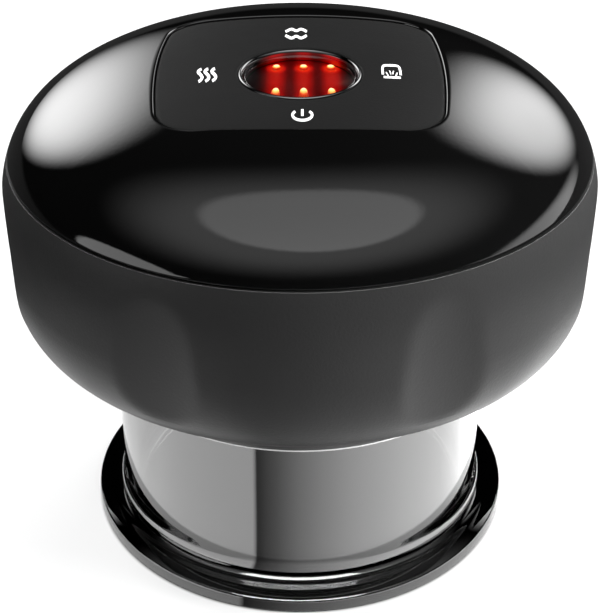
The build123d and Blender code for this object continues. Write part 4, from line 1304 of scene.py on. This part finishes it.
@dataclass
class Base:
    """Collar, cup slot and spigot under the body, with the therapy lamps' lenses."""

    shop: Workshop
    collar_radius: float = 30.5
    collar_bottom: float = 27.8
    collar_round: float = 0.5
    round_share: float = 0.3
    roof_radii: tuple[float, ...] = (28.0, 25.0, 21.0, 12.0)
    roof_gap: float = 0.02
    slot_gap: float = 0.3
    cup_radius: float = 28.6
    slot_top: float = 30.4
    spigot_radius: float = 25.9
    spigot_bottom: float = 25.5
    spigot_inner: float = 24.4
    groove_bottom: float = 27.55
    groove_top: float = 29.65
    groove_depth: float = 0.7
    plate_top: float = 26.35
    plate_ledge: float = 1.5
    ceiling: float = 30.0
    vent_radius: float = 7.1
    vent_wall: float = 1.1
    vent_bottom: float = 26.6
    edge: float = 0.12
    lamp_circle: float = 14.0
    lamp_radius: float = 1.5
    lamp_gap: float = 0.2
    lamp_lift: float = 0.36
    lamp_top: float = 27.6
    lamp_squash: float = 0.6
    lamp_count: int = 6

    def moulding(self) -> Piece:
        """Spin the collar, the slot and the spigot in one.

        Returns:
            The moulding.
        """
        form = self.shop.form
        slot, groove = self.cup_radius + self.slot_gap, self.spigot_radius - self.groove_depth
        ledge, vent = self.spigot_inner - self.plate_ledge, self.vent_radius + self.vent_wall
        soft, collar = self.collar_round, self.collar_radius
        outline = [
            (vent, self.ceiling),
            (ledge, self.ceiling),
            (ledge, self.plate_top),
            (self.spigot_inner, self.plate_top),
            (self.spigot_inner, self.spigot_bottom),
            (self.spigot_radius, self.spigot_bottom),
            (self.spigot_radius, self.groove_bottom),
            (groove, self.groove_bottom),
            (groove, self.groove_top),
            (self.spigot_radius, self.groove_top),
            (self.spigot_radius, self.slot_top),
            (slot, self.slot_top),
            (slot, self.collar_bottom),
            (collar - soft, self.collar_bottom),
            (collar - soft * self.round_share, self.collar_bottom + soft * self.round_share),
            (collar, self.collar_bottom + soft),
            *[(radius, form.underside(radius) - self.roof_gap) for radius in (collar, *self.roof_radii)],
            (self.vent_radius, form.foot - self.roof_gap),
            (self.vent_radius, self.vent_bottom),
            (vent, self.vent_bottom),
        ]
        moulding = spun("base_moulding", outline, 180)
        bevel(moulding, self.edge, 2, 50)
        return smooth(moulding)

    def lamps(self) -> Piece:
        """Round-nosed lamps in a ring behind the warm plate.

        Returns:
            The lamps as one mesh.
        """
        low, flat = self.spigot_bottom + self.lamp_gap, self.lamp_squash
        nose = arc((0, low + self.lamp_radius * flat), self.lamp_radius, -90, 0, 8)
        outline = [(r, low + (z - low) * flat + self.lamp_lift) for r, z in nose]
        outline += [(self.lamp_radius, self.lamp_top), (0, self.lamp_top)]
        made = []
        for index in range(self.lamp_count):
            bearing = FULL_TURN * index / self.lamp_count
            middle = (self.lamp_circle * math.cos(bearing), self.lamp_circle * math.sin(bearing))
            made.append(spun("therapy_lamp", outline, 28, middle, closed=False))
        return smooth(join(*made), 40)

    def build(self) -> None:
        """Build and dress the base."""
        moulding = self.shop.dress(self.moulding(), "black_plastic", "base_plate")
        low, lip = self.collar_bottom + self.collar_round, self.collar_radius - self.collar_round
        # The collar's rounded lower edge gets the lighter grey: a painted highlight line.
        painted_highlight = self.shop.materials["painted_edge_highlight"]
        second_finish(moulding, painted_highlight, lambda at, _: at.z < low and at.xy.length > lip)
        self.shop.dress(self.lamps(), "red_lamp", "therapy_leds")


@dataclass
class Softbox:
    """One soft light panel that faces the object."""

    name: str
    bearing: float
    elevation: float
    distance: float
    size: Point
    power: float
    mirrored: bool = False

    def build(self, aim: Place) -> Piece:
        """Hang the light.

        Args:
            aim: the place that it faces.

        Returns:
            The lamp.
        """
        away = heading(self.bearing, self.elevation)
        light = bpy.data.lights.new(self.name, "AREA")
        light.shape = "RECTANGLE"
        light.size, light.size_y = self.size
        light.energy = self.power
        lamp = bpy.data.objects.new(self.name, light)
        lamp.location = Vector(aim) + away * self.distance
        lamp.rotation_euler = away.to_track_quat("Z", "Y").to_euler()
        lamp.visible_glossy = self.mirrored
        lamp.visible_transmission = False
        bpy.context.scene.collection.objects.link(lamp)
        return lamp


@dataclass
class Cup:
    """Clear cup with a flared rim."""

    shop: Workshop
    radius: float = 28.6
    wall: float = 2.0
    top: float = 30.1
    top_round: float = 0.3
    rim_radius: float = 32.9
    rim_height: float = 2.4
    rim_rise: float = 0.6
    rim_shelf: float = 1.5
    flare_height: float = 6.3
    flare_steps: int = 10
    round: float = 0.5
    lip_round: float = 0.8
    rows: tuple[float, ...] = (12.0, 18.0, 24.0)
    lowest_row: float = 6.0
    steps: int = 240
    lamp: Softbox = field(default_factory=lambda: Softbox("cup_lamp", 0, 54, 0.5, (0.44, 0.25), 2.4, mirrored=True))

    def flare(self) -> list[Point]:
        """Curve from the wall out to the rim's shelf.

        Returns:
            Its points, downwards.
        """
        rim_top = self.rim_height + self.rim_rise
        start = Vector((self.radius, self.flare_height))
        low = Vector((self.radius, rim_top + self.rim_rise))
        out = Vector((self.radius + self.rim_rise, rim_top))
        end = Vector((self.rim_radius - self.rim_shelf, rim_top))
        points = []
        for step in range(self.flare_steps + 1):
            t = step / self.flare_steps
            s = 1 - t
            points.append(tuple(start * s**3 + low * 3 * t * s**2 + out * 3 * t * t * s + end * t**3))
        return points

    def outline(self) -> list[Point]:
        """Section of the cup, from the bore's top down its inside and up its outside.

        Returns:
            Its points.
        """
        bore, soft = self.radius - self.wall, self.top_round
        inside = [(bore + soft, self.top), (bore, self.top - soft)]
        inside += [(bore, z) for z in (*self.rows[::-1], self.lowest_row)]
        lip = arc((bore + self.lip_round, self.lip_round), self.lip_round, 180, 270, 8)
        rim = self.rim_radius - self.round
        foot = arc((rim, self.round), self.round, -90, 0, 6)
        crest = arc((rim, self.rim_height - self.round), self.round, 0, 80, 6)
        outside = [(self.radius, z) for z in (*self.rows, self.top - soft)] + [(self.radius - soft, self.top)]
        return inside + lip + foot + crest + self.flare()[::-1] + outside

    def build(self) -> None:
        """Spin the cup, dress it and hang the light panel that shines on it alone."""
        cup = smooth(spun("clear_cup", self.outline(), self.steps), 40)
        self.shop.dress(cup, "clear_cup", "suction_cup", body="cup")
        receivers = bpy.data.collections.new("cup_alone")
        receivers.objects.link(cup)
        self.lamp.build((0, 0, 0)).light_linking.receiver_collection = receivers


# Studio


@dataclass(frozen=True)
class Glow:
    """Soft oval of light far away, which glossy surfaces mirror."""

    name: str
    bearing: float
    elevation: float
    half_size: Point
    inner: float
    strength: float
    tilt: float = 0.0
    slope: float = 0.0

    def build(self, nodes: Nodes, sight: Socket) -> Socket:
        """Add the oval to the world.

        Args:
            nodes: the world's nodes.
            sight: the direction looked along.

        Returns:
            The oval's light.
        """
        middle = heading(self.bearing, self.elevation)
        turn = math.radians(self.bearing)
        across = Vector((math.cos(turn), math.sin(turn), 0.0))
        upward = middle.cross(across)
        if upward.z < 0:
            upward = -upward
        tilt = Quaternion(middle, math.radians(self.tilt) * (-1 if across.cross(upward).dot(middle) < 0 else 1))
        wide, high = (math.sin(math.radians(half)) for half in self.half_size)
        aside = nodes.measure("DOT_PRODUCT", sight, (tilt @ across) / wide)
        above = nodes.measure("DOT_PRODUCT", sight, (tilt @ upward) / high)
        ahead = nodes.calc("GREATER_THAN", nodes.measure("DOT_PRODUCT", sight, middle), 0.0)
        oval = nodes.calc("MULTIPLY_ADD", above, above, nodes.calc("MULTIPLY", aside, aside))
        fade = nodes.fit(oval, (self.inner, 1.0), (self.strength, 0.0), "SMOOTHSTEP")
        sloped = nodes.calc("MAXIMUM", nodes.calc("MULTIPLY_ADD", above, self.slope, 1.0), 0.0)
        return nodes.calc("MULTIPLY", nodes.calc("MULTIPLY", fade, sloped), ahead)


GLOWS: tuple[Glow, ...] = (
    Glow("back_left", -149.8, 19, (22.7, 26.6), -0.13, 3.7, -43.7, 0.59),
    Glow("back_right", 145, 22.5, (24, 23.5), 0.0, 3.2, -1.6, 0.5),
    Glow("overhead", 18, 80.9, (28.7, 28.7), 0.76, 0.66, 0.0, -0.25),
    Glow("overhead_haze", 8, 74, (66, 52), 0.25, 0.5),
    Glow("low_left", -64, 7, (25, 11), 0.8, 1.3),
    Glow("low_right", 96, 2, (40, 10), 0.2, 1.2),
)

# Softboxes that light the object and that nothing mirrors
LAMPS: tuple[Softbox, ...] = (
    Softbox("back_left", -147, 21, 0.6, (0.30, 0.24), 4.0),
    Softbox("back_right", 146, 23, 0.6, (0.34, 0.24), 7.0),
    Softbox("overhead", 10, 80, 0.6, (0.46, 0.36), 3.2),
    Softbox("front_right", 80, 14, 0.7, (0.24, 0.24), 14.5),
)

# Cards round the cup that its reflections alone see: bearing in degrees and strength. From behind, the last and
# lightest one shows as a thin line at the cup's foot.
CARD_PEAK = 4.0
CARDS: tuple[Point, ...] = (
    (-180, 0.3), (-90, 1.9), (-28.5, 1.75), (-27.5, 0.08), (-14, 0.4), (0, 0.85), (31, 1.75), (64, 2.5),
    (90, 2.9), (115, 3.9), (179.999, 0.6), (180, 4.0),
)


@dataclass
class Studio:
    """Pale floor, soft lights and the camera at the photograph's angle.

    The floor and the world are white to the eye. As the photograph's gloss does, reflections see a dark room with
    cards round the cup, and what shows through the cup is dark painted shade.
    """

    lens: float = 92.5
    sensor: float = 36.0
    distance: float = 0.245
    elevation: float = 31.7
    aim: Place = (0.0, 0.0, 0.0333)
    floor_size: float = 6.0
    white_share: float = 0.82
    # The dark tone under the cup, its radius and its edge: painted shade, which rays through the cup also see.
    painted_shade_tone: float = 0.012
    floor_tone: float = 0.8
    painted_shade_radius: float = 0.0326
    edge_fade: float = 0.0006
    edge_share: float = 1.1
    fan_middle: float = -0.015
    card_reach: float = 0.085
    foot_reach: float = 0.0362
    foot_share: float = 0.5
    inside_share: float = 0.08
    painted_shade_reach: float = 0.25
    dark_room: float = 0.03
    horizon: Point = (-0.02, 0.03)
    fill: float = 0.24
    sweep_radius: float = 0.058
    sweep_height: float = 0.045
    sweep_front: float = 0.014

    def camera(self) -> None:
        """Set up the camera."""
        data = bpy.data.cameras.new("camera")
        data.lens, data.sensor_width = self.lens, self.sensor
        data.clip_start, data.clip_end = 0.01, 50.0
        camera = bpy.data.objects.new("camera", data)
        back = heading(0, self.elevation)
        camera.location = Vector(self.aim) + back * self.distance
        camera.rotation_euler = (-back).to_track_quat("-Z", "Y").to_euler()
        bpy.context.scene.collection.objects.link(camera)
        bpy.context.scene.camera = camera

    def cards(self, nodes: Nodes, place: Socket, away: Socket) -> Socket:
        """Light and dark cards that lie round the cup, for its reflections alone.

        Args:
            nodes: the floor's nodes.
            place: the place on the floor.
            away: its distance from the cup's axis.

        Returns:
            The strength of the floor's white.
        """
        path = nodes.add("LightPath").outputs
        split = nodes.add("SeparateXYZ", Vector=place).outputs
        turn = nodes.calc("ARCTAN2", split["X"], nodes.calc("MULTIPLY_ADD", split["Y"], -1.0, self.fan_middle))
        stops = [(bearing / 360 + 0.5, grey(tone / CARD_PEAK)) for bearing, tone in CARDS]
        lit = nodes.calc("MULTIPLY", nodes.ramp(nodes.fit(turn, (-math.pi, math.pi)), *stops), CARD_PEAK)
        foot = nodes.fit(away, (self.foot_reach, self.foot_reach + self.edge_fade), (self.foot_share, 1.0))
        inside = nodes.fit(path["Transmission Depth"], end=(1.0, self.inside_share))
        near = nodes.fit(away, (self.card_reach, self.card_reach * self.edge_share), (1.0, 0.0))
        faced = nodes.calc("MULTIPLY", nodes.calc("MULTIPLY", lit, foot), inside)
        return nodes.mix(path["Is Glossy Ray"], 1.0, nodes.calc("MULTIPLY_ADD", faced, near, self.dark_room))

    def by_ray(self, nodes: Nodes, near: Socket) -> tuple[Socket, Socket]:
        """Where each kind of ray meets the white floor and where it meets dark painted shade.

        Args:
            nodes: the floor's nodes.
            near: one close to the cup, zero far away.

        Returns:
            The share of plain white, and one where the floor is free of painted shade.
        """
        path = nodes.add("LightPath").outputs
        through = path["Is Transmission Ray"]
        free_of_painted_shade = nodes.calc("SUBTRACT", 1.0, nodes.calc("MULTIPLY", through, near))
        direct = nodes.calc("MAXIMUM", path["Is Camera Ray"], nodes.calc("MULTIPLY", through, free_of_painted_shade))
        shadowed = nodes.calc("MULTIPLY", direct, self.white_share)
        return nodes.calc("MAXIMUM", shadowed, path["Is Glossy Ray"]), free_of_painted_shade

    def floor(self) -> None:
        """Lay the pale floor, white to the eye but with the object's shadow, and dark painted shade under the cup and
        seen through it.
        """
        put_down()
        bpy.ops.mesh.primitive_plane_add(size=self.floor_size)
        floor = named("studio_floor")
        surface = Surface("studio_floor")
        place = surface.add("TexCoord").outputs["Object"]
        away = surface.measure("LENGTH", place)
        outside = surface.fit(away, (self.painted_shade_radius, self.painted_shade_radius + self.edge_fade))
        # Within this reach, rays through the cup see the floor as dark painted shade.
        near = surface.fit(away, (self.painted_shade_reach, self.painted_shade_reach * self.edge_share), (1.0, 0.0))
        share, free_of_painted_shade = self.by_ray(surface, near)
        # Base colour: dark painted shade under the cup and for rays through the cup nearby; pale floor tone elsewhere.
        floor_with_painted_shade = surface.fit(surface.calc("MULTIPLY", outside, free_of_painted_shade), end=(self.painted_shade_tone, self.floor_tone))
        surface.fill(surface.shader, Base_Color=floor_with_painted_shade, Roughness=0.9, Specular_IOR_Level=0.0)
        strength = self.cards(surface, place, away)
        white = surface.add("Emission", "white", Color=grey(1.0), Strength=strength)
        mix = surface.add("MixShader", Fac=surface.calc("MULTIPLY", share, outside))
        surface.put(mix.inputs[1], surface.shader.outputs["BSDF"])
        surface.put(mix.inputs[2], white.outputs["Emission"])
        surface.fill(surface.tree.nodes["Material Output"], Surface=mix.outputs["Shader"])
        floor.data.materials.append(surface.material)

    def dark_sweep(self) -> None:
        """Stand a dark sweep behind the cup for reflections alone: it keeps the rim's sides dark, as in the photo."""
        put_down()
        middle = (0, 0, self.sweep_height / 2)
        bpy.ops.mesh.primitive_cylinder_add(
            vertices=96, radius=self.sweep_radius, depth=self.sweep_height, end_fill_type="NOTHING", location=middle
        )
        sweep = named("dark_sweep")
        shape = bmesh.new()
        shape.from_mesh(sweep.data)
        front = [face for face in shape.faces if face.calc_center_median().y < self.sweep_front]
        bmesh.ops.delete(shape, geom=front, context="FACES")
        shape.to_mesh(sweep.data)
        shape.free()
        surface = Surface("dark_sweep")
        surface.fill(surface.shader, Base_Color=grey(0.002), Roughness=0.9, Specular_IOR_Level=0.0)
        sweep.data.materials.append(surface.material)
        sweep.visible_camera = sweep.visible_diffuse = sweep.visible_transmission = sweep.visible_shadow = False

    def world(self) -> None:
        """Pale sweep near the horizon, darker ceiling for the reflections, plain soft fill."""
        world = bpy.data.worlds.new("studio")
        bpy.context.scene.world = world
        world.use_nodes = True
        nodes = Nodes(world.node_tree)
        path = nodes.add("LightPath").outputs
        sight = nodes.add("TexCoord").outputs["Generated"]
        height = nodes.add("SeparateXYZ", Vector=sight).outputs["Z"]
        pale = nodes.fit(path["Is Glossy Ray"], end=(1.0, self.dark_room))
        light = nodes.calc("MULTIPLY", nodes.fit(height, self.horizon, (1.0, 0.0)), pale)
        for glow in GLOWS:
            light = nodes.calc("ADD", light, glow.build(nodes, sight))
        sharp = nodes.calc("MAXIMUM", path["Is Glossy Ray"], path["Is Transmission Ray"])
        seen = nodes.mix(path["Is Camera Ray"], nodes.mix(sharp, self.fill, light), 1.0)
        nodes.fill(world.node_tree.nodes["Background"], Color=seen)

    def build(self) -> None:
        """Set the stage."""
        self.camera()
        self.floor()
        self.dark_sweep()
        self.world()
        for lamp in LAMPS:
            lamp.build(self.aim)
        bpy.context.scene.view_settings.view_transform = "Standard"


def main() -> None:
    """Build the studio and every sub-assembly in order."""
    logging.basicConfig(level=logging.INFO, format="%(name)s: %(message)s")
    shop = Workshop()
    shop.open()
    Studio().build()
    shop.dress_frame()
    for assembly in (Cover, TouchPanel, Icons, Display, Body, Base, Cup):
        assembly(shop).build()


if __name__ == "__main__":
    main()
